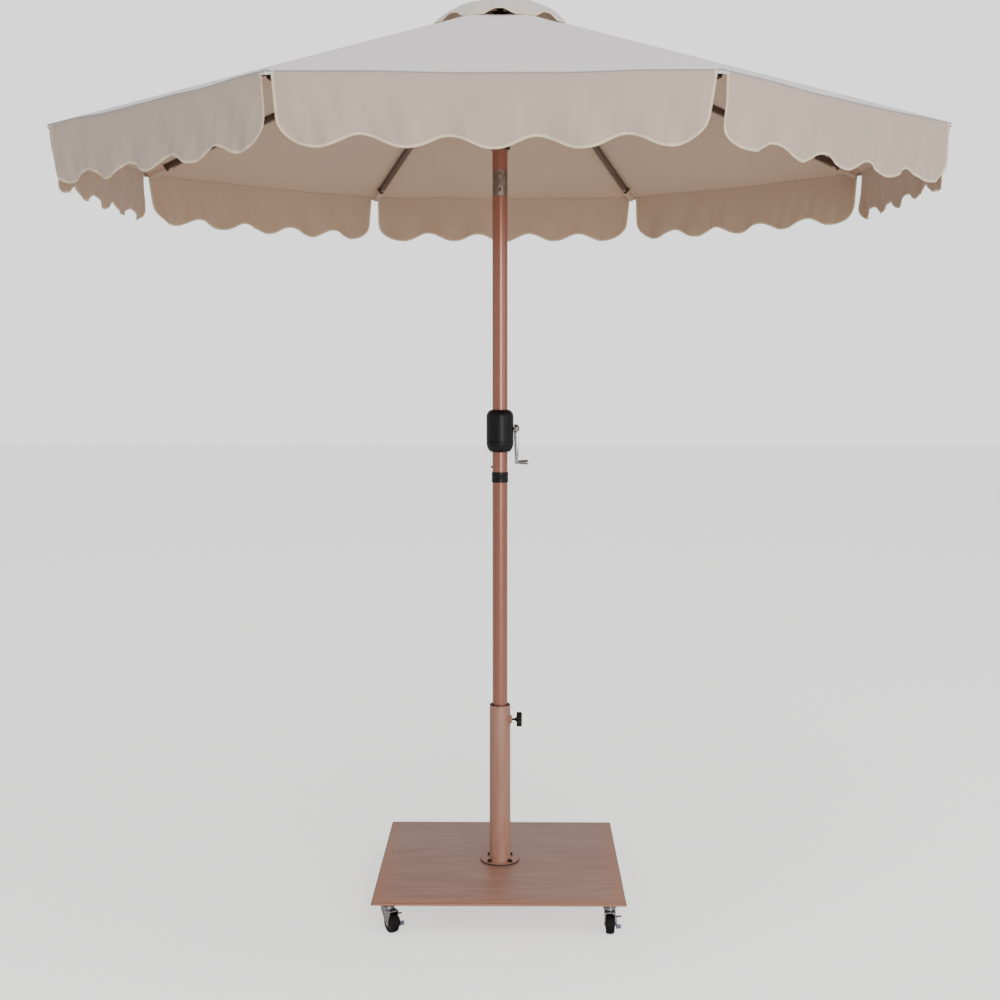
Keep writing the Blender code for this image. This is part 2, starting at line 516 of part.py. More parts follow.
def make_vent_cap():
    """A shallow dome on the ribs whose edge rises in an arch over each gore."""
    bm = bmesh.new()
    apothem = CAP_RADIUS * math.cos(math.pi / RIB_COUNT)
    steps, rings = 4, (0.4, 0.75, 1.0)
    corner_z = cloth_z(CAP_RADIUS) + CLOTH / math.cos(OPEN_ANGLE) + 3 * GAP
    apex = bm.verts.new((0, 0, CAP_APEX_Z))
    circles = []
    for ring in rings:
        circle = []
        for number in range(RIB_COUNT):
            for i in range(steps):
                off = math.radians(45.0 * i / steps)
                angle = rib_azimuth(number) + off
                edge = apothem / math.cos(off - math.radians(22.5))
                edge_z = corner_z + CAP_ARCH * math.sin(math.pi * i / steps)
                drop = (CAP_APEX_Z - edge_z) * ring ** 2.5
                circle.append(bm.verts.new((edge * ring * math.cos(angle), edge * ring * math.sin(angle),
                                            CAP_APEX_Z - drop)))
        circles.append(circle)
    count = len(circles[0])
    for i in range(count):
        bm.faces.new((apex, circles[0][i], circles[0][(i + 1) % count]))
        for inner, outer in zip(circles, circles[1:]):
            bm.faces.new((inner[i], outer[i], outer[(i + 1) % count], inner[(i + 1) % count]))
    cap = link("vent_cap", bm, FABRIC)
    thicken(cap)


def thicken(skin):
    """Give a skin the cloth's thickness, on its inner side."""
    wall = skin.modifiers.new("thickness", "SOLIDIFY")
    wall.thickness, wall.offset, wall.use_even_offset = CLOTH, -1.0, True


make_stand()
make_clamp_knob()
make_casters()
make_lower_mast()
make_crank()
make_tilt_joint()
make_head()
make_ribs_and_struts()
make_canopy()
make_vent_cap()
hang(pivot("tilt_pivot", (0, 0, TILT_Z)), *[bpy.data.objects[name] for name in (
    "tilt_tongue", "top_pole", "top_hub", "cap_nut", "canopy", "vent_cap")])
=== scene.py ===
"""Looks for a crank-and-tilt patio umbrella in a square steel stand on casters."""
import json
import math

import bpy
from mathutils import Matrix, Vector


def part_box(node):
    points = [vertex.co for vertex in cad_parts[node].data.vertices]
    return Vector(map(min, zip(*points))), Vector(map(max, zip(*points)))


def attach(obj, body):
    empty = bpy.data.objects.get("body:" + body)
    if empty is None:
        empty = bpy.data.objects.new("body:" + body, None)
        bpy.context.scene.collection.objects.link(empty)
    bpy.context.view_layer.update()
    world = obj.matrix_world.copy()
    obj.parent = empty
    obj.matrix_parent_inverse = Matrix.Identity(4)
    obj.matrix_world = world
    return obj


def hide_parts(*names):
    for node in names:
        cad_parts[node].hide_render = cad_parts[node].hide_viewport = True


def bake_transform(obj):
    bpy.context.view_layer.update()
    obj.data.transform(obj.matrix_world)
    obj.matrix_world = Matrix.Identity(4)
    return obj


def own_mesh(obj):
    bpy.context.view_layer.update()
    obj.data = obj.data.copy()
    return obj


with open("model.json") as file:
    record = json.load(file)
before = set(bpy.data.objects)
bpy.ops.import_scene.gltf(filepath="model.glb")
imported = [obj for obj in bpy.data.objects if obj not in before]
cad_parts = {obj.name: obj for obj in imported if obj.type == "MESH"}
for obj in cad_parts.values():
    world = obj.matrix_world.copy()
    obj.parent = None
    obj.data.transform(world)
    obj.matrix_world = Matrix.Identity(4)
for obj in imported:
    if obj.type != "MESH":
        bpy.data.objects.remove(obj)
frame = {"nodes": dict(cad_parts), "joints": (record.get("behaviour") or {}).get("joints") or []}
bpy.ops.object.select_all(action="DESELECT")
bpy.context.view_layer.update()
joints = {joint["name"]: joint for joint in frame["joints"]}


# ---- camera ----
# A standing eye a little below the rim of the open canopy, looking slightly down at the stand.
CAMERA_DISTANCE, CAMERA_HEIGHT = 3.59, 1.363
CAMERA_ORBIT, CAMERA_PITCH = math.radians(0.65), math.radians(-5.5)

bpy.ops.object.camera_add(
    location=(CAMERA_DISTANCE * math.sin(CAMERA_ORBIT), -CAMERA_DISTANCE * math.cos(CAMERA_ORBIT), CAMERA_HEIGHT),
    rotation=(math.pi / 2 + CAMERA_PITCH, 0, CAMERA_ORBIT))
camera = bpy.context.object
camera.data.sensor_width, camera.data.lens = 36, 51.28
bpy.context.scene.camera = camera


# ---- light and floor ----
# A bright even studio: a wide softbox overhead, one at each side, a weak one in front, pale floor.
for name, place, width, power in (("overhead", (0.3, -1.2, 4.6), 4.0, 85), ("left", (-4.2, -1.8, 1.9), 2.4, 5),
                                  ("right", (4.2, -2.4, 2.1), 2.4, 30), ("front", (1.6, -5.0, 1.6), 2.0, 125)):
    aim = (Vector((0, 0, 1.2)) - Vector(place)).to_track_quat("-Z", "Y")
    bpy.ops.object.light_add(type="AREA", location=place, rotation=aim.to_euler())
    softbox = bpy.context.object
    softbox.name = f"softbox_{name}"
    softbox.data.size, softbox.data.energy = width, power
    softbox.data.color = (1.0, 0.985, 0.965)

WALL_LIGHT, BACKDROP_LIGHT, PAPER_LIGHT = 0.66, 1.65, 0.9      # the last two only as the camera sees them
sky = bpy.data.worlds.new("studio")
sky.use_nodes = True
nodes, link = sky.node_tree.nodes, sky.node_tree.links.new
walls, backdrop, seen = nodes["Background"], nodes.new("ShaderNodeBackground"), nodes.new("ShaderNodeMixShader")
walls.inputs["Color"].default_value, walls.inputs["Strength"].default_value = (1.0, 0.985, 0.97, 1), WALL_LIGHT
backdrop.inputs["Color"].default_value = (1.0, 1.0, 1.0, 1)
backdrop.inputs["Strength"].default_value = BACKDROP_LIGHT
link(nodes.new("ShaderNodeLightPath").outputs["Is Camera Ray"], seen.inputs[0])
link(walls.outputs[0], seen.inputs[1])
link(backdrop.outputs[0], seen.inputs[2])
link(seen.outputs[0], nodes["World Output"].inputs["Surface"])
bpy.context.scene.world = sky

bpy.ops.mesh.primitive_plane_add(size=40)
floor = bpy.context.object
floor.name = "floor"
floor_paint = bpy.data.materials.new("floor_paint")
floor_paint.use_nodes = True
nodes, link = floor_paint.node_tree.nodes, floor_paint.node_tree.links.new
paper = nodes["Principled BSDF"]
paper.inputs["Base Color"].default_value, paper.inputs["Roughness"].default_value = (0.86, 0.86, 0.86, 1), 0.85
paper.inputs["Emission Strength"].default_value = PAPER_LIGHT
link(nodes.new("ShaderNodeLightPath").outputs["Is Camera Ray"], paper.inputs["Emission Color"])
floor.data.materials.append(floor_paint)


# ---- stand plate ----
# A 6 mm steel plate, its edges eased, coated with a printed wood grain that runs from side to side.
# The coat is warmer towards the edges and ends in a dark line. Everything on the stand rests on it.
PRINT_DARK, PRINT_MID, PRINT_PALE = (0.245, 0.122, 0.088, 1), (0.345, 0.178, 0.130, 1), (0.435, 0.250, 0.190, 1)
EDGE_WARM, EDGE_LINE = (0.42, 0.170, 0.085, 1), (0.055, 0.028, 0.020, 1)


def both_ways(operation):
    """The two methods of an operation, with the wire as its first term and as its second."""
    return (lambda self, other: self.maths(operation, self, other),
            lambda self, other: self.maths(operation, other, self))


class Wire:
    """One socket of a material. Sums and products of wires add the Math nodes they need."""
    __add__, __radd__ = both_ways("ADD")
    __sub__, __rsub__ = both_ways("SUBTRACT")
    __mul__, __rmul__ = both_ways("MULTIPLY")
    __lt__ = both_ways("LESS_THAN")[0]
    __gt__ = both_ways("GREATER_THAN")[0]

    def __init__(self, socket):
        self.socket = socket

    def maths(self, operation, *terms):
        tree = self.socket.id_data
        node = tree.nodes.new("ShaderNodeMath")
        node.operation = operation
        for place, term in zip(node.inputs, terms):
            if isinstance(term, Wire):
                tree.links.new(term.socket, place)
            else:
                place.default_value = term
        return Wire(node.outputs[0])

    def __abs__(self):
        return self.maths("ABSOLUTE", self)

    def sine(self):
        return self.maths("SINE", self)


class Finish:
    """A material being mixed. node() adds any node, and the other methods are its usual recipes."""

    def __init__(self, name, **surface):
        self.material = bpy.data.materials.new(name)
        self.material.use_nodes = True
        self.tree = self.material.node_tree
        self.surface({key.replace("_", " ").title(): value for key, value in surface.items()})

    def plug(self, node, sockets):
        for key, value in sockets.items():
            if isinstance(value, Wire):
                self.tree.links.new(value.socket, node.inputs[key])
            else:
                node.inputs[key].default_value = value

    def node(self, kind, settings=None, sockets=None, output=0):
        made = self.tree.nodes.new(f"ShaderNode{kind}")
        for key, value in (settings or {}).items():
            if key == "stops":
                ramp = made.color_ramp
                ramp.elements[0].position, ramp.elements[0].color = value[0]
                ramp.elements[1].position, ramp.elements[1].color = value[-1]
                for position, colour in value[1:-1]:
                    ramp.elements.new(position).color = colour
            else:
                setattr(made, key, value)
        self.plug(made, sockets or {})
        return Wire(made.outputs[output])

    def surface(self, sockets):
        self.plug(self.tree.nodes["Principled BSDF"], sockets)

    def spread(self, scale=(1, 1, 1), source="Object"):
        """Coordinates in metres, stretched by scale."""
        return self.node("Mapping", sockets={"Vector": self.node("TexCoord", output=source), "Scale": scale})

    def along(self, axis, source="Object"):
        """One coordinate in metres."""
        return self.node("SeparateXYZ", sockets={"Vector": self.node("TexCoord", output=source)}, output=axis)

    def speckle(self, where, scale, detail=3.0, roughness=0.55):
        return self.node("TexNoise", sockets={"Vector": where, "Scale": scale, "Detail": detail,
                                              "Roughness": roughness})

    def mixed(self, share, first, second):
        """A colour that goes from first to second with share."""
        tint = self.tree.nodes.new("ShaderNodeMix")
        tint.data_type = "RGBA"
        for place, value in ((0, share), (6, first), (7, second)):
            if isinstance(value, Wire):
                self.tree.links.new(value.socket, tint.inputs[place])
            else:
                tint.inputs[place].default_value = value
        return Wire(tint.outputs[2])

    def bump(self, height, depth, strength=1.0):
        self.surface({"Normal": self.node("Bump", sockets={"Height": height, "Distance": depth,
                                                           "Strength": strength})})


def wood_grain(coat, along):
    """The print: slow cathedral figure, fine fibres along the grain, and broad changes of tone."""
    stretch = [1.0 if axis == along else 7.0 for axis in "XYZ"]
    fibre_stretch = [5.0 if axis == along else 150.0 for axis in "XYZ"]
    slow = coat.speckle(coat.spread(stretch), 1.5, 2.0, 0.45)
    figure = (slow * 52.0).sine() * 0.5 + 0.5
    fibre = coat.speckle(coat.spread(fibre_stretch), 1.6, 4.0, 0.6)
    broad = coat.speckle(coat.spread(stretch), 0.8, 1.0)
    tone = figure * 0.13 + fibre * 0.56 + broad * 0.40
    coat.surface({"Roughness": fibre * 0.16 + 0.36})
    coat.bump(fibre * 0.6 + figure * 0.4, 0.0001, 0.5)
    return coat.node("ValToRGB", {"stops": [(0.30, PRINT_DARK), (0.56, PRINT_MID), (0.86, PRINT_PALE)]},
                     {"Fac": tone})


def settle(piece, name, finish, body, slot, *stands_for, angle=35):
    """Name a finished mesh, smooth it up to its edges, and give it its place, coat and body."""
    bpy.ops.object.select_all(action="DESELECT")
    piece.select_set(True)
    bpy.context.view_layer.objects.active = piece
    bpy.ops.object.transform_apply(location=True, rotation=True, scale=True)
    bpy.ops.object.shade_smooth_by_angle(angle=math.radians(angle))
    piece.name = piece.data.name = name
    coats = finish if isinstance(finish, tuple) else (finish,)
    coat_of = [min(face.material_index, len(coats) - 1) for face in piece.data.polygons]
    piece.data.materials.clear()
    for coat in coats:
        piece.data.materials.append(coat.material)
    piece.data.polygons.foreach_set("material_index", coat_of)
    if body:
        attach(piece, body)
    if stands_for:
        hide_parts(*stands_for)
    bpy.ops.object.select_all(action="DESELECT")
    return piece


def ease(piece, width, segments=2, angle=30):
    """Round a piece's sharp edges."""
    bpy.context.view_layer.objects.active = piece
    bpy.ops.object.modifier_add(type="BEVEL")
    bevel = piece.modifiers[-1]
    bevel.width, bevel.segments, bevel.angle_limit = width, segments, math.radians(angle)
    bpy.ops.object.modifier_apply(modifier=bevel.name)


plate_low, plate_high = map(Vector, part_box("base_plate"))
plate_coat = Finish("plate_print", coat_weight=0.15, coat_roughness=0.3)
plate_grain = wood_grain(plate_coat, "X")
reach_x, reach_y = abs(plate_coat.along("X")), abs(plate_coat.along("Y"))
reach = reach_x.maths("MAXIMUM", reach_x, reach_y)
edge_glow = plate_coat.node("MapRange", {"interpolation_type": "SMOOTHSTEP"}, {
    "Value": reach, "From Min": plate_high.x - 0.055, "From Max": plate_high.x, "To Max": 0.6})
border = (reach > plate_high.x - 0.0018) - (reach > plate_high.x - 0.0003)
warmed = plate_coat.mixed(edge_glow, plate_grain, EDGE_WARM)
plate_coat.surface({"Base Color": plate_coat.mixed(border, warmed, EDGE_LINE)})

bpy.ops.mesh.primitive_cube_add(size=1, location=(plate_low + plate_high) / 2)
plate = bpy.context.object
plate.scale = plate_high - plate_low
bpy.ops.object.transform_apply(location=True, rotation=True, scale=True)
bpy.ops.object.mode_set(mode="EDIT")
bpy.ops.mesh.select_mode(type="EDGE")
bpy.ops.mesh.select_all(action="DESELECT")
bpy.ops.object.mode_set(mode="OBJECT")
for edge in plate.data.edges:
    foot, head = (plate.data.vertices[corner].co for corner in edge.vertices)
    edge.select = abs(foot.z - head.z) > 0.001
bpy.ops.object.mode_set(mode="EDIT")
bpy.ops.mesh.bevel(offset=0.004, segments=5, affect="EDGES")
bpy.ops.object.mode_set(mode="OBJECT")
ease(plate, 0.0009, 3)
settle(plate, "stand_plate", plate_coat, "stand", "wood_finish", "base_plate")


# ---- stand tube ----
# A steel tube welded to a round flange, printed like the plate with the grain upright. Its mouth is
# lined with a black plastic sleeve, and a boss welded on the right takes the clamp knob's screw.
tube_low, tube_high = map(Vector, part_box("base_tube"))
knob_z = joints["clamp_knob_turn"]["pos_m"][2]
TUBE_RADIUS, TUBE_WALL, FLANGE_RADIUS, FLANGE_THICKNESS = 0.0265, 0.002, 0.050, 0.004
POLE_RADIUS, POLE_WALL, MERGE_GAP = 0.019, 0.002, 1e-6


def mend(piece, gap=0):
    """Merge the points that lie within gap of each other, and turn the faces outwards."""
    bpy.ops.object.mode_set(mode="EDIT")
    bpy.ops.mesh.select_all(action="SELECT")
    if gap:
        bpy.ops.mesh.remove_doubles(threshold=gap)
    bpy.ops.mesh.normals_make_consistent(inside=False)
    bpy.ops.object.mode_set(mode="OBJECT")
    return piece


def turned(profile, axis=(0, 0, 1), centre=(0, 0, 0), steps=64):
    """Turn a closed outline of (radius, height) points about an axis through centre."""
    points = [Vector((radius, 0, height)) for radius, height in profile]
    bpy.ops.mesh.primitive_plane_add(size=0.001)
    piece = bpy.context.object
    bpy.ops.object.mode_set(mode="EDIT")
    bpy.ops.mesh.select_mode(type="VERT")
    bpy.ops.mesh.select_all(action="SELECT")
    bpy.ops.mesh.merge(type="CENTER")
    bpy.ops.transform.translate(value=points[0])
    for start, end in zip(points, points[1:]):
        bpy.ops.mesh.extrude_region_move(TRANSFORM_OT_translate={"value": end - start})
    if profile[0][0] > 0 or profile[-1][0] > 0:
        bpy.ops.mesh.extrude_region_move(TRANSFORM_OT_translate={"value": points[0] - points[-1]})
    bpy.ops.mesh.select_all(action="SELECT")
    bpy.ops.mesh.remove_doubles(threshold=MERGE_GAP)
    bpy.ops.mesh.select_all(action="SELECT")
    bpy.ops.mesh.spin(steps=steps, angle=math.tau, center=(0, 0, 0), axis=(0, 0, 1))
    mend(piece, MERGE_GAP)
    piece.rotation_euler = Vector((0, 0, 1)).rotation_difference(Vector(axis)).to_euler()
    piece.location = centre
    return piece


def bend(centre, radius, start, end, steps=5):
    """Outline points on an arc between two angles in degrees."""
    angles = [math.radians(start + (end - start) * i / steps) for i in range(steps + 1)]
    return [(centre[0] + radius * math.cos(a), centre[1] + radius * math.sin(a)) for a in angles]


tube_coat = Finish("tube_print", coat_weight=0.2, coat_roughness=0.25)
tube_grain = wood_grain(tube_coat, "Z")
flange_top = tube_low.z + FLANGE_THICKNESS
side_to_side, front_to_back = tube_coat.along("X"), tube_coat.along("Y")
from_axis = side_to_side * side_to_side + front_to_back * front_to_back
# A dark line is painted round the tube's top rim and round the flange's edge, as on the plate.
rim_dark_lines = (tube_coat.along("Z") > tube_high.z - 0.0016) + (from_axis > (FLANGE_RADIUS - 0.0011) ** 2)
tube_coat.surface({"Base Color": tube_coat.mixed(rim_dark_lines, tube_coat.mixed(0.25, tube_grain, EDGE_WARM), EDGE_LINE)})
tube_bore = TUBE_RADIUS - TUBE_WALL
settle(turned([(tube_bore, tube_low.z), (FLANGE_RADIUS - 0.001, tube_low.z), (FLANGE_RADIUS, tube_low.z + 0.001)]
              + bend((FLANGE_RADIUS - 0.0012, flange_top - 0.0012), 0.0012, 0, 90)
              + bend((TUBE_RADIUS + 0.0042, flange_top + 0.0036), 0.0036, 270, 180)
              + bend((TUBE_RADIUS - 0.0005, tube_high.z - 0.0005), 0.0005, 0, 90, 3)
              + bend((tube_bore + 0.0005, tube_high.z - 0.0005), 0.0005, 90, 180, 3), steps=96),
       "stand_tube", tube_coat, "stand", "wood_finish", "base_tube")

settle(turned([(0.0036, 0.0250), (0.0112, 0.0250)] + bend((0.0080, 0.0292), 0.0020, 30, 90, 4)
              + [(0.0036, 0.0312)], axis=(1, 0, 0), centre=(0, 0, knob_z), steps=40),
       "knob_boss", tube_coat, "stand", "wood_finish")

black_plastic = Finish("black_plastic")
mould_marks = black_plastic.speckle(black_plastic.spread(), 2600.0, 2.0)
scuffs = black_plastic.speckle(black_plastic.spread(), 34.0, 5.0, 0.65)
black_plastic.surface({
    "Base Color": black_plastic.mixed(scuffs, (0.0042, 0.0040, 0.0050, 1), (0.0095, 0.0090, 0.0105, 1)),
    "Roughness": scuffs * 0.16 + 0.30, "Specular IOR Level": 0.22})
black_plastic.bump(mould_marks, 0.00006, 0.5)
sleeve_low, sleeve_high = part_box("pole_sleeve")
settle(turned([(POLE_RADIUS + 0.0003, sleeve_low[2]), (tube_bore - 0.0003, sleeve_low[2]),
               (tube_bore - 0.0003, sleeve_high[2] - 0.001), (tube_bore - 0.0013, sleeve_high[2]),
               (POLE_RADIUS + 0.0013, sleeve_high[2]), (POLE_RADIUS + 0.0003, sleeve_high[2] - 0.001)]),
       "tube_liner", black_plastic, "stand", "black_plastic", "pole_sleeve")


# ---- flange bolts ----
# Four bronzed hexagon bolts with a washer each hold the flange to the plate; their threads show below.
steel = Finish("plated_steel", metallic=1.0)
tarnish = steel.speckle(steel.spread(), 90.0, 4.0, 0.6)
steel.surface({"Base Color": steel.mixed(tarnish, (0.34, 0.33, 0.32, 1), (0.52, 0.51, 0.50, 1)),
               "Roughness": tarnish * 0.22 + 0.22})
bronzed = Finish("bronzed_steel", metallic=0.7, roughness=0.34)
bronzed.surface({"Base Color": bronzed.mixed(bronzed.speckle(bronzed.spread(), 120.0), (0.020, 0.013, 0.010, 1),
                                             (0.060, 0.038, 0.030, 1))})
bolt_seat = flange_top + 0.0003


def open_faces(piece, wanted):
    """Open a piece for editing with only the wanted faces selected."""
    bpy.ops.object.mode_set(mode="EDIT")
    bpy.ops.mesh.select_mode(type="FACE")
    bpy.ops.mesh.select_all(action="DESELECT")
    bpy.ops.object.mode_set(mode="OBJECT")
    for face in piece.data.polygons:
        face.select = wanted(face)
    bpy.ops.object.mode_set(mode="EDIT")


for number in range(1, 5):
    low, high = map(Vector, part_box(f"flange_bolt_{number}"))
    spot = (low + high) / 2
    settle(turned([(0.0031, bolt_seat), (0.0068, bolt_seat), (0.0068, bolt_seat + 0.0009),
                   (0.0064, bolt_seat + 0.0012), (0.0031, bolt_seat + 0.0012)],
                  centre=(spot.x, spot.y, 0), steps=40),
           f"bolt_washer_{number}", bronzed, "stand", "chrome")
    bpy.ops.mesh.primitive_cylinder_add(vertices=6, radius=0.0058, depth=0.0040,
                                        location=(spot.x, spot.y, bolt_seat + 0.0032),
                                        rotation=(0, 0, math.radians(17 * number)))
    bolt = bpy.context.object
    open_faces(bolt, lambda face: face.normal.z > 0.9)
    bpy.ops.mesh.inset(thickness=0.0007, depth=0.0004)
    bpy.ops.mesh.inset(thickness=0.0012, depth=0)
    bpy.ops.mesh.inset(thickness=0.0003, depth=-0.0003)
    bpy.ops.object.mode_set(mode="OBJECT")
    ease(bolt, 0.0003)
    settle(bolt, f"bolt_head_{number}", bronzed, "stand", "chrome", f"flange_bolt_{number}")
    thread = [(0.0030 - 0.0004 * (turn % 2), plate_low.z - 0.0040 + 0.0005 * turn) for turn in range(17)]
    settle(turned([(0, thread[0][1])] + thread + [(0, thread[-1][1])], centre=(spot.x, spot.y, 0), steps=20),
           f"bolt_thread_{number}", steel, "stand", "chrome")


# ---- clamp knob ----
# A moulded star knob on a steel screw. It presses the mast against the sleeve when it is tightened.
KNOB_LOBES, KNOB_OUTER, KNOB_INNER = 6, 0.0190, 0.0158
bpy.ops.mesh.primitive_circle_add(vertices=96, radius=KNOB_OUTER, fill_type="NGON")
knob = bpy.context.object
for vertex in knob.data.vertices:
    around = math.atan2(vertex.co.y, vertex.co.x)
    wave = 0.5 + 0.5 * math.cos(KNOB_LOBES * around)
    vertex.co = vertex.co.normalized() * (KNOB_INNER + (KNOB_OUTER - KNOB_INNER) * wave ** 0.6)
bpy.ops.object.mode_set(mode="EDIT")
bpy.ops.mesh.select_all(action="SELECT")
bpy.ops.mesh.extrude_region_move(TRANSFORM_OT_translate={"value": (0, 0, 0.0130)})
bpy.ops.mesh.inset(thickness=0.0022, depth=0.0010)
bpy.ops.mesh.inset(thickness=0.0050, depth=-0.0006)
bpy.ops.mesh.inset(thickness=0.0014, depth=-0.0014)
ease(mend(knob), 0.0024, 4, angle=50)
knob.rotation_euler, knob.location = (0, math.pi / 2, 0), (0.0425, 0, knob_z)
settle(knob, "star_knob", black_plastic, "clamp_knob", "black_plastic", "clamp_knob")
settle(turned([(0, 0.0386), (0.0042, 0.0386), (0.0048, 0.0396), (0.0058, 0.0416), (0.0085, 0.0432), (0, 0.0440)],
              axis=(1, 0, 0), centre=(0, 0, knob_z), steps=40),
       "knob_neck", black_plastic, "clamp_knob", "black_plastic")
thread = [(0.0030 - 0.00035 * (turn % 2), 0.0196 + 0.0005 * turn) for turn in range(39)]
settle(turned([(0, thread[0][1])] + thread + [(0, thread[-1][1])], axis=(1, 0, 0), centre=(0, 0, knob_z),
              steps=24),
       "knob_screw", bronzed, "clamp_knob", "chrome")


# ---- casters ----
# Four swivel casters: a plated pressed fork under a domed double race, a ribbed rubber wheel on an
# axle bolt, and a steel rocker brake with a pedal at each end beside the wheel.
chrome = Finish("bright_plating", metallic=1.0)
haze = chrome.speckle(chrome.spread(), 60.0, 3.0)
chrome.surface({"Base Color": chrome.mixed(haze, (0.25, 0.25, 0.265, 1), (0.40, 0.405, 0.42, 1)),
                "Roughness": haze * 0.14 + 0.10})
rocker_steel = Finish("blued_steel", metallic=0.9)
heat = rocker_steel.speckle(rocker_steel.spread(), 70.0, 4.0)
rocker_steel.surface({"Base Color": rocker_steel.mixed(heat, (0.13, 0.155, 0.21, 1), (0.30, 0.34, 0.43, 1)),
                      "Roughness": heat * 0.2 + 0.22})
rubber = Finish("wheel_rubber")
dust = rubber.speckle(rubber.spread(), 120.0, 5.0, 0.7)
rubber.surface({"Base Color": rubber.mixed(dust, (0.0035, 0.0035, 0.004, 1), (0.011, 0.0105, 0.010, 1)),
                "Roughness": dust * 0.25 + 0.45, "Specular IOR Level": 0.2})
rubber.bump(dust, 0.0002, 0.4)
axle_z = joints["wheel_front_left"]["pos_m"][2]


def dressed(node, bevel, segments=2):
    """A copy of a CAD node with its doubled points merged and its edges eased."""
    piece = bpy.data.objects.new(node, frame["nodes"][node].data.copy())
    bpy.context.collection.objects.link(piece)
    piece.select_set(True)
    bpy.context.view_layer.objects.active = piece
    bpy.ops.object.mode_set(mode="EDIT")
    bpy.ops.mesh.select_all(action="SELECT")
    bpy.ops.mesh.remove_doubles(threshold=2e-6)
    bpy.ops.mesh.dissolve_limited(angle_limit=math.radians(1))
    bpy.ops.object.mode_set(mode="OBJECT")
    ease(piece, bevel, segments)
    return piece


for where in ("front_left", "front_right", "back_left", "back_right"):
    spot, wheel_joint = Vector(joints[f"swivel_{where}"]["pos_m"]), joints[f"wheel_{where}"]
    hub, axle = Vector(wheel_joint["pos_m"]), Vector(wheel_joint["axis"])
    settle(dressed(f"caster_fork_{where}", 0.0004), f"fork_{where}", chrome, f"swivel_{where}", "chrome",
           f"caster_fork_{where}")
    settle(turned([(0, 0.0732), (0.0088, 0.0732), (0.0125, 0.0718)] + bend((0.0135, 0.0690), 0.0026, 70, -80, 6)
                  + bend((0.0158, 0.0628), 0.0030, 80, -80, 6) + [(0.0120, 0.0596), (0, 0.0596)],
                  centre=(spot.x, spot.y, 0), steps=48),
           f"swivel_race_{where}", chrome, f"swivel_{where}", "chrome")

    tread = [(0.0040, -0.0100), (0.0205, -0.0100), (0.0222, -0.0092)]
    for rib in range(-3, 4):
        crown = axle_z - 0.0004 - 0.00010 * rib * rib
        tread += [(crown - 0.0007, 0.0024 * rib - 0.0010), (crown, 0.0024 * rib - 0.0007),
                  (crown, 0.0024 * rib + 0.0007), (crown - 0.0007, 0.0024 * rib + 0.0010)]
    tread += [(0.0222, 0.0092), (0.0205, 0.0100), (0.0040, 0.0100)]
    settle(turned(tread, axis=axle, centre=hub, steps=56),
           f"wheel_{where}", rubber, f"wheel_{where}", "rubber", f"caster_wheel_{where}", angle=25)
    for side, label in ((-1, f"{where}_a"), (1, f"{where}_b")):
        settle(turned([(0.0040, 0.0099), (0.0150, 0.0099), (0.0140, 0.0104), (0.0120, 0.0101), (0.0075, 0.0101),
                       (0.0068, 0.0105), (0.0040, 0.0105)], axis=axle * side, centre=hub, steps=40),
               f"wheel_disc_{label}", black_plastic, f"wheel_{where}", "black_plastic")
        bpy.ops.mesh.primitive_cylinder_add(vertices=6, radius=0.0046, depth=0.0014, rotation=(
            axle * side).to_track_quat("Z", "Y").to_euler(), location=hub + axle * side * 0.0135)
        nut = bpy.context.object
        ease(nut, 0.0003)
        settle(nut, f"axle_nut_{label}", steel, f"swivel_{where}", "chrome")
    settle(dressed(f"caster_brake_{where}", 0.0003), f"brake_{where}", rocker_steel, f"brake_{where}",
           "grey_metal", f"caster_brake_{where}")


# ---- poles ----
# Two lengths of 38 mm steel tube meet at the snap joint, where a black collar hides the seam; more
# tube runs to the tilt joint and on to the hub. All of it is sprayed a satin copper brown.
pole_coat = Finish("pole_paint", metallic=0.35, coat_weight=0.3, coat_roughness=0.12)
drift = pole_coat.speckle(pole_coat.spread((40, 40, 1.2)), 1.0, 3.0)
flake = pole_coat.speckle(pole_coat.spread(), 900.0, 1.0)
pole_coat.surface({"Base Color": pole_coat.mixed(drift * 0.8 + flake * 0.2, (0.265, 0.098, 0.063, 1),
                                                 (0.345, 0.139, 0.094, 1)), "Roughness": drift * 0.12 + 0.24})
pole_coat.bump(flake, 0.00003, 0.35)
bore = POLE_RADIUS - POLE_WALL
spigot = bore - 0.0003
for node, body in (("lower_pole", "mast"), ("middle_pole", "mast"), ("upper_pole", "mast"), ("top_pole", "head")):
    foot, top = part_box(node)[0][2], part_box(node)[1][2]
    outline = [(bore, foot), (POLE_RADIUS - 0.0004, foot), (POLE_RADIUS, foot + 0.0004)]
    if node == "lower_pole":
        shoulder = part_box("pole_collar")[1][2]
        outline += [(POLE_RADIUS, shoulder), (spigot, shoulder), (spigot, top), (spigot - POLE_WALL, top),
                    (spigot - POLE_WALL, 1.050), (bore, 1.046)]
    else:
        outline += [(POLE_RADIUS, top - 0.0004), (POLE_RADIUS - 0.0004, top), (bore, top)]
    settle(turned(outline, steps=72), f"{node}_tube", pole_coat, body, "pole_finish", node)
foot_low, foot_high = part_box("pole_foot")
settle(turned([(0, foot_low[2])] + bend((tube_bore - 0.0018, foot_low[2] + 0.0015), 0.0015, 270, 360, 3)
              + [(tube_bore - 0.0003, foot_high[2]), (POLE_RADIUS + 0.0003, foot_high[2]),
                 (POLE_RADIUS + 0.0003, foot_low[2] + 0.005), (0, foot_low[2] + 0.005)]),
       "pole_shoe", black_plastic, "mast", "black_plastic", "pole_foot")
collar_low, collar_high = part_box("pole_collar")[0][2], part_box("pole_collar")[1][2]
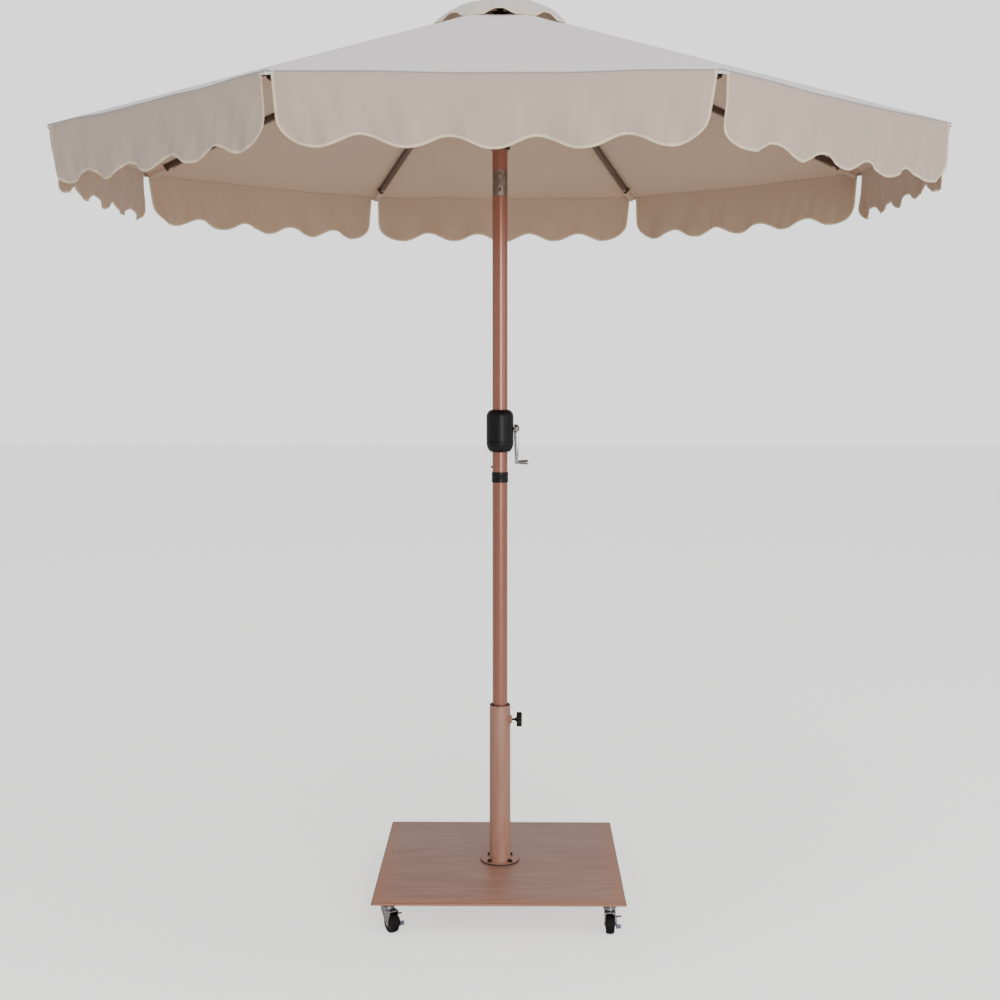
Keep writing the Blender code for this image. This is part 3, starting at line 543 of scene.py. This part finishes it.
settle(turned([(POLE_RADIUS + 0.0002, collar_low)] + bend((0.0201, collar_low + 0.0007), 0.0007, 270, 360, 3)
              + [(0.0208, collar_low + 0.0105), (0.0205, collar_low + 0.0110), (0.0205, collar_low + 0.0145),
                 (0.0208, collar_low + 0.0150)]
              + bend((0.0201, collar_high - 0.0007), 0.0007, 0, 90, 3) + [(POLE_RADIUS + 0.0002, collar_high)]),
       "snap_collar", black_plastic, "mast", "black_plastic", "pole_collar")
snap_low, snap_high = map(Vector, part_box("snap_pin"))
settle(turned([(0, 0.0122), (0.0045, 0.0122), (0.0045, 0.0134), (0.0030, 0.0134), (0.0030, 0.0222)]
              + bend((0, 0.0215), 0.0030, 12, 90, 6), axis=(-1, 0, 0),
              centre=(0, 0, (snap_low.z + snap_high.z) / 2), steps=32),
       "snap_button", chrome, "snap_pin", "chrome", "snap_pin")


# ---- crank ----
# A two-part moulded housing clamped round the pole; the upper part has a drum for the cord inside. A
# plated crank with a loose spinning grip sticks out on the right.
crank_z = joints["crank_turn"]["pos_m"][2]
arm_end_z = joints["crank_grip_spin"]["pos_m"][2]
house_low, house_high = map(Vector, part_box("crank_housing"))
cap_low, cap_high = map(Vector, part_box("crank_housing_cap"))
HOUSING_RADIUS, CORNER, SHOULDER = 0.0342, 0.0150, 0.0185
settle(turned([(POLE_RADIUS + 0.0003, house_low.z), (HOUSING_RADIUS - 0.0006, house_low.z),
               (HOUSING_RADIUS, house_low.z + 0.0006), (HOUSING_RADIUS, house_high.z - 0.020),
               (HOUSING_RADIUS - 0.0004, house_high.z - 0.0195),
               (HOUSING_RADIUS - 0.0004, house_high.z - 0.0185),
               (HOUSING_RADIUS, house_high.z - 0.018)]
              + [(HOUSING_RADIUS - CORNER * (1 - across), house_high.z - SHOULDER * (1 - up))
                 for across, up in bend((0, 0), 1, 0, 90, 9)]
              + [(POLE_RADIUS + 0.0003, house_high.z)], steps=96),
       "housing_body", black_plastic, "mast", "black_plastic", "crank_housing")
foot_rise = cap_high.z - cap_low.z - 0.002
settle(turned([(POLE_RADIUS + 0.0003, cap_high.z), (POLE_RADIUS + 0.0003, cap_low.z)]
              + [(HOUSING_RADIUS - CORNER * (1 - across), cap_low.z + foot_rise * (1 + up))
                 for across, up in bend((0, 0), 1, 270, 360, 9)]
              + [(HOUSING_RADIUS, cap_high.z - 0.0006), (HOUSING_RADIUS - 0.0006, cap_high.z)], steps=96),
       "housing_foot", black_plastic, "mast", "black_plastic", "crank_housing_cap")
settle(turned([(0.0046, 0.0325), (0.0125, 0.0325), (0.0120, 0.0338), (0.0060, 0.0342), (0.0046, 0.0342)],
              axis=(1, 0, 0), centre=(0, 0, crank_z), steps=40),
       "crank_bearing", black_plastic, "mast", "black_plastic")

grey_metal = Finish("dull_plating", metallic=0.85)
cast = grey_metal.speckle(grey_metal.spread((1, 1, 0.25)), 150.0, 4.0, 0.65)
grey_metal.surface({"Base Color": grey_metal.mixed(cast, (0.165, 0.118, 0.092, 1), (0.285, 0.222, 0.185, 1)),
                    "Roughness": cast * 0.25 + 0.30})
grey_metal.bump(cast, 0.00005, 0.4)
settle(turned([(0, -0.026), (0.004, -0.026), (0.004, -0.0125), (0.0160, -0.0125), (0.0160, -0.0110),
               (0.009, -0.0110), (0.009, 0.0110), (0.0160, 0.0110), (0.0160, 0.0125), (0.004, 0.0125),
               (0.004, 0.0405), (0, 0.0405)], axis=(1, 0, 0), centre=(0, 0, crank_z), steps=40),
       "cord_drum", grey_metal, "crank", "grey_metal", "crank_spool")

settle(turned([(0.0046, 0.0352), (0.0095, 0.0352), (0.0107, 0.0362), (0.0110, 0.0378)]
              + bend((0, 0.0366), 0.0128, 26, 90, 9) + [(0, 0.0410), (0.0046, 0.0410)],
              axis=(1, 0, 0), centre=(0, 0, crank_z), steps=48),
       "crank_hub", chrome, "crank", "chrome", "crank_arm")
bpy.ops.mesh.primitive_cube_add(size=1)
arm = bpy.context.object
for vertex in arm.data.vertices:
    at_top = vertex.co.z > 0
    half_width = 0.0062 if at_top else 0.0046
    inner, outer = (0.0346, 0.0474) if at_top else (0.0380, 0.0458)
    vertex.co = Vector((outer if vertex.co.x > 0 else inner, math.copysign(half_width, vertex.co.y),
                        crank_z - 0.004 if at_top else arm_end_z - 0.0052))
ease(arm, 0.0018, 4)
settle(arm, "crank_lever", chrome, "crank", "chrome")
settle(turned([(0, 0.0436), (0.0020, 0.0436), (0.0020, 0.0690), (0, 0.0690)], axis=(1, 0, 0),
              centre=(0, 0, arm_end_z), steps=20),
       "grip_pin", steel, "crank", "chrome")
settle(turned([(0.0023, 0.0452), (0.0038, 0.0452), (0.0043, 0.0456), (0.0047, 0.0470), (0.0045, 0.0484),
               (0.0050, 0.0500), (0.0060, 0.0640)] + bend((0.0022, 0.0676), 0.0040, 0, 90, 7)
              + [(0, 0.0716), (0, 0.0694), (0.0023, 0.0694)], axis=(1, 0, 0), centre=(0, 0, arm_end_z), steps=40),
       "crank_knob", chrome, "crank_grip", "chrome", "crank_grip")


# ---- tilt joint ----
# Two cast knuckles on a steel pin let the head lean over. A sprung button on the front frees the
# lock; it has a bright cap with a dark centre. A black disc above it is painted shade in the lock hole.
tilt_z = joints["tilt"]["pos_m"][2]
settle(dressed("tilt_bracket", 0.0006, 3), "tilt_lower_knuckle", grey_metal, "mast", "grey_metal", "tilt_bracket")
settle(dressed("tilt_tongue", 0.0006, 3), "tilt_upper_knuckle", grey_metal, "head", "grey_metal", "tilt_tongue")
settle(turned([(0, -0.0194), (0.0034, -0.0194), (0.0040, -0.0188), (0.0040, 0.0188), (0.0034, 0.0194),
               (0, 0.0194)], axis=(0, 1, 0), centre=(0, 0, tilt_z), steps=32),
       "tilt_hinge_pin", grey_metal, "mast", "grey_metal", "tilt_pin")
polished = Finish("polished_steel", metallic=1.0)
polished.surface({"Base Color": polished.mixed(polished.speckle(polished.spread(), 80.0), (0.78, 0.74, 0.68, 1),
                                               (0.92, 0.90, 0.87, 1)), "Roughness": 0.28})
button_low, button_high = map(Vector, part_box("tilt_button"))
button_z = (button_low.z + button_high.z) / 2
settle(turned([(0, 0.0120), (0.0042, 0.0120), (0.0042, 0.0195), (0.0036, 0.0204), (0.0021, 0.0204),
               (0.0018, 0.0199), (0, 0.0199)], axis=(0, -1, 0), centre=(0, 0, button_z), steps=36),
       "tilt_release", polished, "tilt_button", "chrome", "tilt_button")
settle(turned([(0, 0.0198), (0.0018, 0.0198), (0.0015, 0.0202), (0, 0.0203)], axis=(0, -1, 0),
              centre=(0, 0, button_z), steps=24),
       "tilt_release_eye", black_plastic, "tilt_button", "black_plastic")
# Painted shade: a black disc deep in the lock hole, where the hole would be dark.
settle(turned([(0, 0.0164), (0.0022, 0.0164), (0.0022, 0.0184), (0.0018, 0.0188), (0, 0.0188)],
              axis=(0, -1, 0), centre=(0, 0, button_z + 0.0105), steps=24),
       "lock_hole_shade", black_plastic, "mast", "black_plastic")


# ---- hub and runner ----
# Two moulded rings with eight slots each: the hub is fixed on the top of the pole and carries the
# ribs, and the runner slides on the pole and carries the struts. A nut on the hub holds the cap.
for node, name, body in (("top_hub", "rib_hub", "head"), ("runner", "strut_runner", "runner")):
    settle(dressed(node, 0.0004), name, black_plastic, body, "black_plastic", node)
nut_low, nut_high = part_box("cap_nut")[0][2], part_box("cap_nut")[1][2]
settle(turned([(0, nut_low), (0.0030, nut_low), (0.0030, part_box("top_hub")[1][2] + 0.0003),
               (0.0080, nut_low + 0.027), (0.0080, nut_high - 0.0120), (0.0210, nut_high - 0.0090),
               (0.0220, nut_high - 0.0078), (0.0180, nut_high - 0.0058), (0, nut_high - 0.0046)]),
       "cap_finial", black_plastic, "head", "black_plastic", "cap_nut")
settle(dressed("cord_pulley", 0.0003), "pulley_wheel", grey_metal, "cord_pulley", "grey_metal", "cord_pulley")


# ---- ribs and struts ----
# Eight folded steel ribs, powder coated dark brown, each pinned in the hub and propped by a strut to
# the runner. A rivet near the outer end holds the cloth's pocket, and a black tip fills the end.
rib_coat = Finish("rib_powder", coat_weight=0.1)
peel = rib_coat.speckle(rib_coat.spread(), 420.0, 2.0)
rubbed = rib_coat.speckle(rib_coat.spread(), 22.0, 4.0, 0.6)
rib_coat.surface({"Base Color": rib_coat.mixed(rubbed, (0.060, 0.029, 0.020, 1), (0.115, 0.062, 0.044, 1)),
                  "Roughness": rubbed * 0.18 + 0.30})
rib_coat.bump(peel, 0.00005, 0.5)

hub_pivot_z = joints["fold_1"]["pos_m"][2]
pivot_radius = Vector(joints["fold_1"]["pos_m"]).xy.length
elbow = Vector(joints["strut_1_swing"]["pos_m"])
strut_span = (elbow - Vector(joints["fold_1"]["pos_m"])).length
pitch = math.asin((hub_pivot_z - elbow.z) / strut_span)
RIB_LENGTH, RIB_FLOOR, RIB_ROOF = 1.07, 0.0045, 0.0195
ribs = []


def rib_directions(outward):
    """The way along an open rib, outwards and down, and the way square to it, up."""
    return (outward * math.cos(pitch) - Vector((0, 0, math.sin(pitch))),
            outward * math.sin(pitch) + Vector((0, 0, math.cos(pitch))))


for number in range(1, 9):
    pivot = Vector(joints[f"fold_{number}"]["pos_m"])
    side = Vector(joints[f"fold_{number}"]["axis"])
    outward = Vector((pivot.x, pivot.y, 0)).normalized()
    ribs.append((number, pivot, outward, side))
for number, pivot, outward, side in ribs:
    settle(dressed(f"rib_{number}", 0.0009, 3), f"rib_bar_{number}", rib_coat, f"rib_{number}", "rib_paint",
           f"rib_{number}")
    settle(dressed(f"strut_{number}", 0.0008, 3), f"strut_bar_{number}", rib_coat, f"strut_{number}", "rib_paint",
           f"strut_{number}")
    along, above = rib_directions(outward)
    runner_pivot = outward * pivot_radius + Vector((0, 0, hub_pivot_z - 2 * strut_span * math.sin(pitch)))
    for name, place, reach, body in (("hub_rivet", pivot, 0.0050, f"rib_{number}"),
                                     ("elbow_rivet", pivot + along * strut_span, 0.0060, f"rib_{number}"),
                                     ("runner_rivet", runner_pivot, 0.0050, f"strut_{number}")):
        settle(turned([(0, -reach), (0.0018, -reach), (0.0020, -reach + 0.0004), (0.0020, reach - 0.0004),
                       (0.0018, reach), (0, reach)], axis=side, centre=place, steps=16),
               f"{name}_{number}", steel, body, "chrome")
    settle(turned([(0, -0.0005), (0.0042, -0.0005), (0.0040, 0.0004), (0.0030, 0.0013), (0.0012, 0.0018),
                   (0, 0.0018)], axis=-above, steps=28,
                  centre=pivot + along * (RIB_LENGTH - 0.075) + above * RIB_FLOOR),
           f"cloth_rivet_{number}", steel, f"rib_{number}", "chrome")

    bpy.ops.mesh.primitive_cube_add(size=1)
    tip = bpy.context.object
    tip.scale = (0.012, 0.0118, 0.0148)
    bpy.ops.object.transform_apply(location=False, rotation=False, scale=True)
    open_faces(tip, lambda face: face.normal.x > 0.9)
    bpy.ops.mesh.inset(thickness=0.0022, depth=0.0012)
    bpy.ops.object.mode_set(mode="OBJECT")
    ease(tip, 0.0010, 3)
    tip.matrix_world = Matrix.Translation(
        pivot + along * (RIB_LENGTH - 0.0068) + above * (RIB_FLOOR + RIB_ROOF) / 2) @ Matrix(
        (along, side, above)).transposed().to_4x4()
    settle(tip, f"rib_tip_{number}", black_plastic, f"rib_{number}", "black_plastic")


# ---- canopy ----
# Eight gores of sand-coloured woven polyester, sewn together over the ribs, with a vent hole at the
# top. Each gore belongs half to the rib on either side, so it is made as two panels that meet in its
# middle, each panel carried by its own rib.
CLOTH_THICKNESS, GORE_SAG, SEAM_RISE, HEM_FOLD, CORNER_HEM = 0.0008, 0.011, 0.0007, 0.004, 0.009
VALANCE_DROP, VALANCE_WAVE, VALANCE_GAP, LOBES = 0.135, 0.023, 0.011, 5
HEM_START = 0.955       # share of a panel's rows that lie on the slope; the rest turn down as the hem
canopy_low, canopy_high = map(Vector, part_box("canopy"))
half_turn = math.radians(22.5)
rim_radius = canopy_high.x / math.cos(half_turn)
rim_z = canopy_low.z + VALANCE_DROP
vent_radius = rim_radius - (canopy_high.z - rim_z) / math.tan(pitch)
rim_side = 2 * rim_radius * math.sin(half_turn)
slant = (rim_radius - vent_radius) / math.cos(pitch)


def woven(name, pale, deep, seams_and_hem_shade=True):
    """Plain-woven polyester: a fine over-and-under weave, uneven yarns, stitching by the seam, and painted shade
    along the hem's fold.
    """
    cloth = Finish(name, roughness=0.86, sheen_weight=0.25, sheen_roughness=0.5)
    warp, weft = cloth.along("X", "UV"), cloth.along("Y", "UV")
    weave = (warp * 7000.0).sine() * (weft * 7000.0).sine()
    yarn = cloth.speckle(cloth.spread((900, 25, 1), "UV"), 1.0, 2.0) * 0.5 + cloth.speckle(
        cloth.spread((25, 900, 1), "UV"), 1.0, 2.0) * 0.5
    cloud = cloth.speckle(cloth.spread(), 4.5, 4.0, 0.6)
    colour = cloth.mixed(cloud * 0.6 + yarn * 0.4, deep, pale)
    height = weave * 0.4 + yarn
    if seams_and_hem_shade:
        from_seam = abs(warp)
        stitch_row = abs(from_seam - 0.0042) < 0.00045
        stitch = stitch_row * ((weft * 1700.0).sine() > -0.35)
        colour = cloth.mixed(stitch * 0.7, colour, (0.62, 0.56, 0.48, 1))
        height = height - stitch_row * 1.6 + stitch * 1.8
        # Painted shade: a dark band along the fold where the hem turns down, for the shadow in that crease.
        colour = cloth.mixed((abs(weft - slant - 0.0015) < 0.0022) * 0.7, colour, (0.15, 0.10, 0.075, 1))
    cloth.surface({"Base Color": colour})
    cloth.bump(height, 0.00022, 0.55)
    return cloth


# Painted light and shade: these are copies of one cloth in different colours. The top is paler and cooler for the
# overhead light and sheen on it. The insides of the canopy and the skirt are warmer and deeper for the light
# coming through the cloth into the shade under it. The skirt's outside is nearest the cloth's own sand colour.
cloth_outside = woven("canopy_outside", (0.71, 0.685, 0.70, 1), (0.62, 0.595, 0.605, 1))
cloth_inside = woven("canopy_inside", (0.58, 0.400, 0.275, 1), (0.48, 0.32, 0.215, 1))
valance_outside = woven("valance_outside", (0.56, 0.435, 0.365, 1), (0.46, 0.35, 0.288, 1), seams_and_hem_shade=False)
valance_inside = woven("valance_inside", (0.56, 0.400, 0.290, 1), (0.46, 0.32, 0.225, 1), seams_and_hem_shade=False)
tape = woven("binding_tape", (0.74, 0.64, 0.47, 1), (0.64, 0.53, 0.37, 1), seams_and_hem_shade=False)


def gore_face(outward, side, hand):
    """The level direction that the gore on one side of a rib faces."""
    return outward * math.cos(half_turn) + side * hand * math.sin(half_turn)


def rim_way(outward, side, hand):
    """The direction of the rim from a rib to its neighbour."""
    return side * hand * math.cos(half_turn) - outward * math.sin(half_turn)


def smooth_step(value):
    value = min(1.0, max(0.0, value))
    return value * value * (3 - 2 * value)


def on_gore(outward, side, across, down, number):
    """A point of the cloth: across is -1 to 1 between mid-gores, down is 0 at the vent and 1 at the rim."""
    hand = math.copysign(1, across)
    radius = vent_radius + (rim_radius - vent_radius) * down
    top = canopy_high.z - (radius - vent_radius) * math.tan(pitch)
    neighbour = outward * math.cos(2 * half_turn) + side * hand * math.sin(2 * half_turn)
    point = (outward * radius).lerp(neighbour * radius, abs(across) / 2)
    middle = smooth_step(abs(across))
    loose = 16 * (across * (1 - abs(across))) ** 2 * smooth_step(down / 0.5)
    ripple = 0.0022 * math.sin(9.0 * down + 2.1 * number + hand) * math.sin(7.0 * abs(across) + 1.3 * number)
    point.z = top - GORE_SAG * middle * math.sin(math.pi * (0.08 + 0.80 * down)) + loose * ripple
    from_rib = abs(across) * radius * math.sin(half_turn)
    point.z += SEAM_RISE * (1 - smooth_step((from_rib - 0.004) / 0.004)) * smooth_step(down * 60)
    return point


def wrapped(columns, rows, place):
    """A grid of cloth with place(x, y) giving each point and its UV in metres; x and y are -1 to 1."""
    bpy.ops.mesh.primitive_grid_add(x_subdivisions=columns, y_subdivisions=rows, size=2, calc_uvs=True)
    sheet = bpy.context.object
    corners = {vertex.index: place(vertex.co.x, vertex.co.y) for vertex in sheet.data.vertices}
    for loop in sheet.data.loops:
        sheet.data.uv_layers.active.data[loop.index].uv = corners[loop.vertex_index][1]
    for vertex in sheet.data.vertices:
        vertex.co = corners[vertex.index][0]
    return sheet


def thicken(sheet, thickness=CLOTH_THICKNESS):
    """Give a sheet its thickness on the inner side, where it shows its second coat."""
    bpy.context.view_layer.objects.active = sheet
    bpy.ops.object.modifier_add(type="SOLIDIFY")
    wall = sheet.modifiers[-1]
    wall.thickness, wall.offset, wall.material_offset = thickness, -1.0, 1
    bpy.ops.object.material_slot_add()
    bpy.ops.object.material_slot_add()
    bpy.ops.object.modifier_apply(modifier=wall.name)


half_gore_area = (rim_side + 2 * vent_radius * math.sin(half_turn)) / 4 * math.hypot(
    (rim_radius - vent_radius) * math.cos(half_turn), (rim_radius - vent_radius) * math.tan(pitch))
for number, pivot, outward, side in ribs:
    for hand in (-1, 1):
        face, half = gore_face(outward, side, hand), f"{number}_{'ab'[hand > 0]}"

        def half_gore(x, y):
            across, down = hand * ((1 - hand * x) / 2) ** 1.7, (y + 1) / 2
            if down > HEM_START:
                fold = (down - HEM_START) / (1 - HEM_START)
                point = on_gore(outward, side, across, 1.0, number)
                blunt = smooth_step(abs(across) / 0.03)
                point += ((face * blunt + outward * (1 - blunt)) * 0.0012
                          * math.sin(min(1, fold * 3) * math.pi / 2))
                corner = 1 - smooth_step((abs(across) * rim_side / 2 - 0.009) / 0.008)
                hem = HEM_FOLD + (CORNER_HEM - HEM_FOLD) * corner
                point.z -= hem * fold
                length = slant + hem * fold
            else:
                point, length = on_gore(outward, side, across, down / HEM_START, number), slant * down / HEM_START
            return point, (across * rim_side / 2 * max(0.14, min(1.0, down / HEM_START)), length)

        panel = wrapped(24, 44, half_gore)
        thicken(panel)
        settle(panel, f"canopy_panel_{half}", (cloth_outside, cloth_inside), f"rib_{number}",
               "fabric", *(["canopy"] if (number, hand) == (1, -1) else []), angle=60)
        slant + HEM_FOLD
        half_gore_area + rim_side / 2 * HEM_FOLD
        along = rib_directions(outward)[0]
        chord = rim_way(outward, side, hand)
        chord - along * chord.dot(along)
        outward * vent_radius + Vector((0, 0, canopy_high.z))
        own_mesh(panel)


# ---- valance ----
# A scalloped skirt of the same cloth hangs from each side of the canopy, open at the corners. Its
# ends and its five lobes are bound with cream tape.
TAPE_WIDTH, TAPE_THICKNESS, TAPE_SEAM = 0.0050, 0.0009, 0.00002


def valance_drop(share):
    """Depth of the skirt at a share of its width: five lobes, the outer corners rounded."""
    drop = VALANCE_DROP - VALANCE_WAVE * (0.5 - 0.5 * math.cos(math.tau * LOBES * (share - 0.5))) ** 1.15
    from_end = min(share, 1 - share) * 2 * LOBES
    if from_end < 1:
        drop = VALANCE_DROP - 0.050 * (1 - math.sqrt(max(0.0, 1 - (1 - from_end) ** 2)))
    return drop


def tape_ring(ring):
    """How far round a flat tape's section a point is: from face to face, and in from the edge."""
    return math.copysign(abs(math.sin(ring)) ** 0.35, math.sin(ring)), 0.5 - 0.5 * math.cos(ring)


def on_valance(outward, side, hand, width, depth, number):
    """A point of the skirt, width metres from the canopy's corner and depth metres below its rim."""
    share = width / rim_side
    face = gore_face(outward, side, hand)
    point = on_gore(outward, side, hand * 2 * share, 1.0, number)
    hang = (max(0.0, depth) / VALANCE_DROP) ** 1.2
    free = smooth_step(abs(share - 0.5) / 0.07)
    slope = 26.0 * depth
    flute = 0.0030 * math.cos(math.tau * LOBES * (share - 0.5)) + free * (
        0.0050 * math.sin(41.0 * share + 1.7 * number + 0.8 * hand + slope)
        + 0.0018 * math.sin(103.0 * share + 2.9 * number - 1.6 * slope)
        + 0.0005 * math.sin(229.0 * share + 4.1 * number + slope))
    loose_end = 1 - smooth_step((width - VALANCE_GAP) / 0.11)
    drift = 0.012 + 0.010 * math.sin(2.3 * number + 1.9 * hand)
    curl = 0.006 * math.sin(1.3 * number + 2.2 * hand)
    point += face * (0.0004 + hang * flute - 0.004 * hang + curl * hang * loose_end)
    point += rim_way(outward, side, hand) * drift * hang * loose_end
    point.z -= depth
    return point


half_width = rim_side / 2 - VALANCE_GAP
edge_steps = [half_width * (step / 90) ** 1.15 for step in range(91)]
hem_route = [(VALANCE_GAP, (VALANCE_DROP - 0.050) * step / 10) for step in range(10)]
hem_route += [(VALANCE_GAP + reach, valance_drop(reach / (2 * half_width))) for reach in edge_steps]
for number, pivot, outward, side in ribs:
    for hand in (-1, 1):
        face, half = gore_face(outward, side, hand), f"{number}_{'ab'[hand > 0]}"

        def skirt(x, y):
            width = VALANCE_GAP + half_width * (x * hand + 1) / 2
            depth = valance_drop((width - VALANCE_GAP) / (2 * half_width)) * (1 - y) / 2
            return on_valance(outward, side, hand, width, depth, number), (hand * width, depth)

        valance = wrapped(60, 14, skirt)
        thicken(valance, 0.0006)
        settle(valance, f"valance_{half}", (valance_outside, valance_inside), f"rib_{number}", "fabric", angle=60)

        def binding(x, y):
            spot = (x * hand + 1) / 2 * (len(hem_route) - 1)
            first = min(int(spot), len(hem_route) - 2)
            here = Vector(hem_route[first]).lerp(Vector(hem_route[first + 1]), spot - first)
            back = Vector(hem_route[max(0, first - 1)])
            ahead = Vector(hem_route[min(len(hem_route) - 1, first + 2)])
            run = Vector((1, 0)) if first >= len(hem_route) - 3 else (ahead - back).normalized()
            inward = Vector((run.y, -run.x))
            ring = (y + 1) / 2 * math.tau
            proud, inset = tape_ring(ring)
            into = TAPE_WIDTH * inset ** 0.8 - 0.0007
            flat = here + inward * into
            point = on_valance(outward, side, hand, flat.x, flat.y, number)
            point += face * (TAPE_THICKNESS * proud - 0.0003)
            return point, (spot * 0.0045, into + (0.02 if math.sin(ring) > 0 else 0))

        edging = mend(wrapped(len(hem_route) - 1, 16, binding), TAPE_SEAM)
        settle(edging, f"valance_binding_{half}", tape, f"rib_{number}", "fabric", angle=70)
        half_width * (VALANCE_DROP - 0.012)
        for soft in (valance, edging):
            rim_way(outward, side, hand)
            outward * rim_radius + Vector((0, 0, rim_z))
            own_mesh(soft)


# ---- corner pockets ----
# A folded patch of cloth sewn under each corner of the canopy, in which the end of the rib sits.
for number, pivot, outward, side in ribs:
    along, above = rib_directions(outward)

    def pocket(x, y):
        reach = RIB_LENGTH - 0.062 + 0.058 * (y + 1) / 2
        turn = x * math.radians(118)
        across, height = 0.0098 * math.sin(turn), 0.0115 - 0.0112 * math.cos(turn)
        flare = smooth_step((abs(x) - 0.72) / 0.28)
        across += math.copysign(0.010 * flare, x)
        height = height + (RIB_ROOF + 0.0004 - height) * flare - 0.0018 * abs(across) / 0.02 * flare
        return pivot + along * reach + side * across + above * height, (across, reach)

    patch = wrapped(36, 12, pocket)
    thicken(patch, 0.0007)
    settle(patch, f"corner_pocket_{number}", (valance_inside, valance_inside), f"rib_{number}", "fabric",
           angle=60)


# ---- vent cap ----
# A small dome of the same cloth over the vent, tacked down at the ribs so that its bound edge rises
# in an arch over each gore and lets the wind out.
CAP_ARCH, CAP_CROWN = 0.0135, 3.2
cap_high = Vector(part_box("vent_cap")[1])
cap_radius = cap_high.x / math.cos(half_turn)
cap_corner_z = canopy_high.z - (cap_radius - vent_radius) * math.tan(pitch) + 0.0020
# Painted light: the cap's copy of the same cloth gets its own colour, paler than the skirt, for the light on the
# top of the dome.
cap_coat = woven("cap_outside", (0.64, 0.57, 0.53, 1), (0.53, 0.46, 0.42, 1))


def on_cap(outward, side, across, down):
    """A point of the cap: across is -1 to 1 from arch to arch, down is 0 at the middle, 1 at the edge."""
    turn = across * half_turn
    edge = cap_radius * math.cos(half_turn) / math.cos(half_turn - abs(turn))
    arch = CAP_ARCH * smooth_step((abs(across) - 0.36) / 0.52)
    edge_z = cap_corner_z + arch
    point = (outward * math.cos(turn) + side * math.sin(turn)) * edge * down
    top = cap_high.z - 0.0045
    point.z = top - (top - edge_z) * down ** CAP_CROWN + point.x * 0.035 * (1 - down ** 4)
    point.z -= 0.0016 * math.sin(5.0 * across + 1.7 * down) * across * (1 - abs(across)) * down * (1 - down) * 16
    return point


for number, pivot, outward, side in ribs:
    def petal(x, y):
        down = 0.004 + 0.996 * (1 - y) / 2
        return on_cap(outward, side, x, down), (x * half_turn * cap_radius * down, cap_radius * down)

    cap = mend(wrapped(20, 22, petal))
    thicken(cap)
    settle(cap, f"vent_cap_{number}", (cap_coat, cloth_inside), None, "fabric",
           *(["vent_cap"] if number == 1 else []), angle=60)

    def cap_binding(x, y):
        ring = (y + 1) / 2 * math.tau
        proud, inset = tape_ring(ring)
        point = on_cap(outward, side, x, 1.0 - 0.0038 * inset / cap_radius)
        return point + Vector((0, 0, 0.0010 * proud - 0.0003)), (x * half_turn * cap_radius, ring * 0.002)

    edging = mend(wrapped(20, 12, cap_binding), TAPE_SEAM)
    settle(edging, f"cap_binding_{number}", tape, None, "fabric", angle=70)
    for soft in (cap, edging):
        outward * 0.012 + Vector((0, 0, cap_high.z))
        outward * 0.070 + Vector((0, 0, cap_high.z))
        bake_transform(soft)
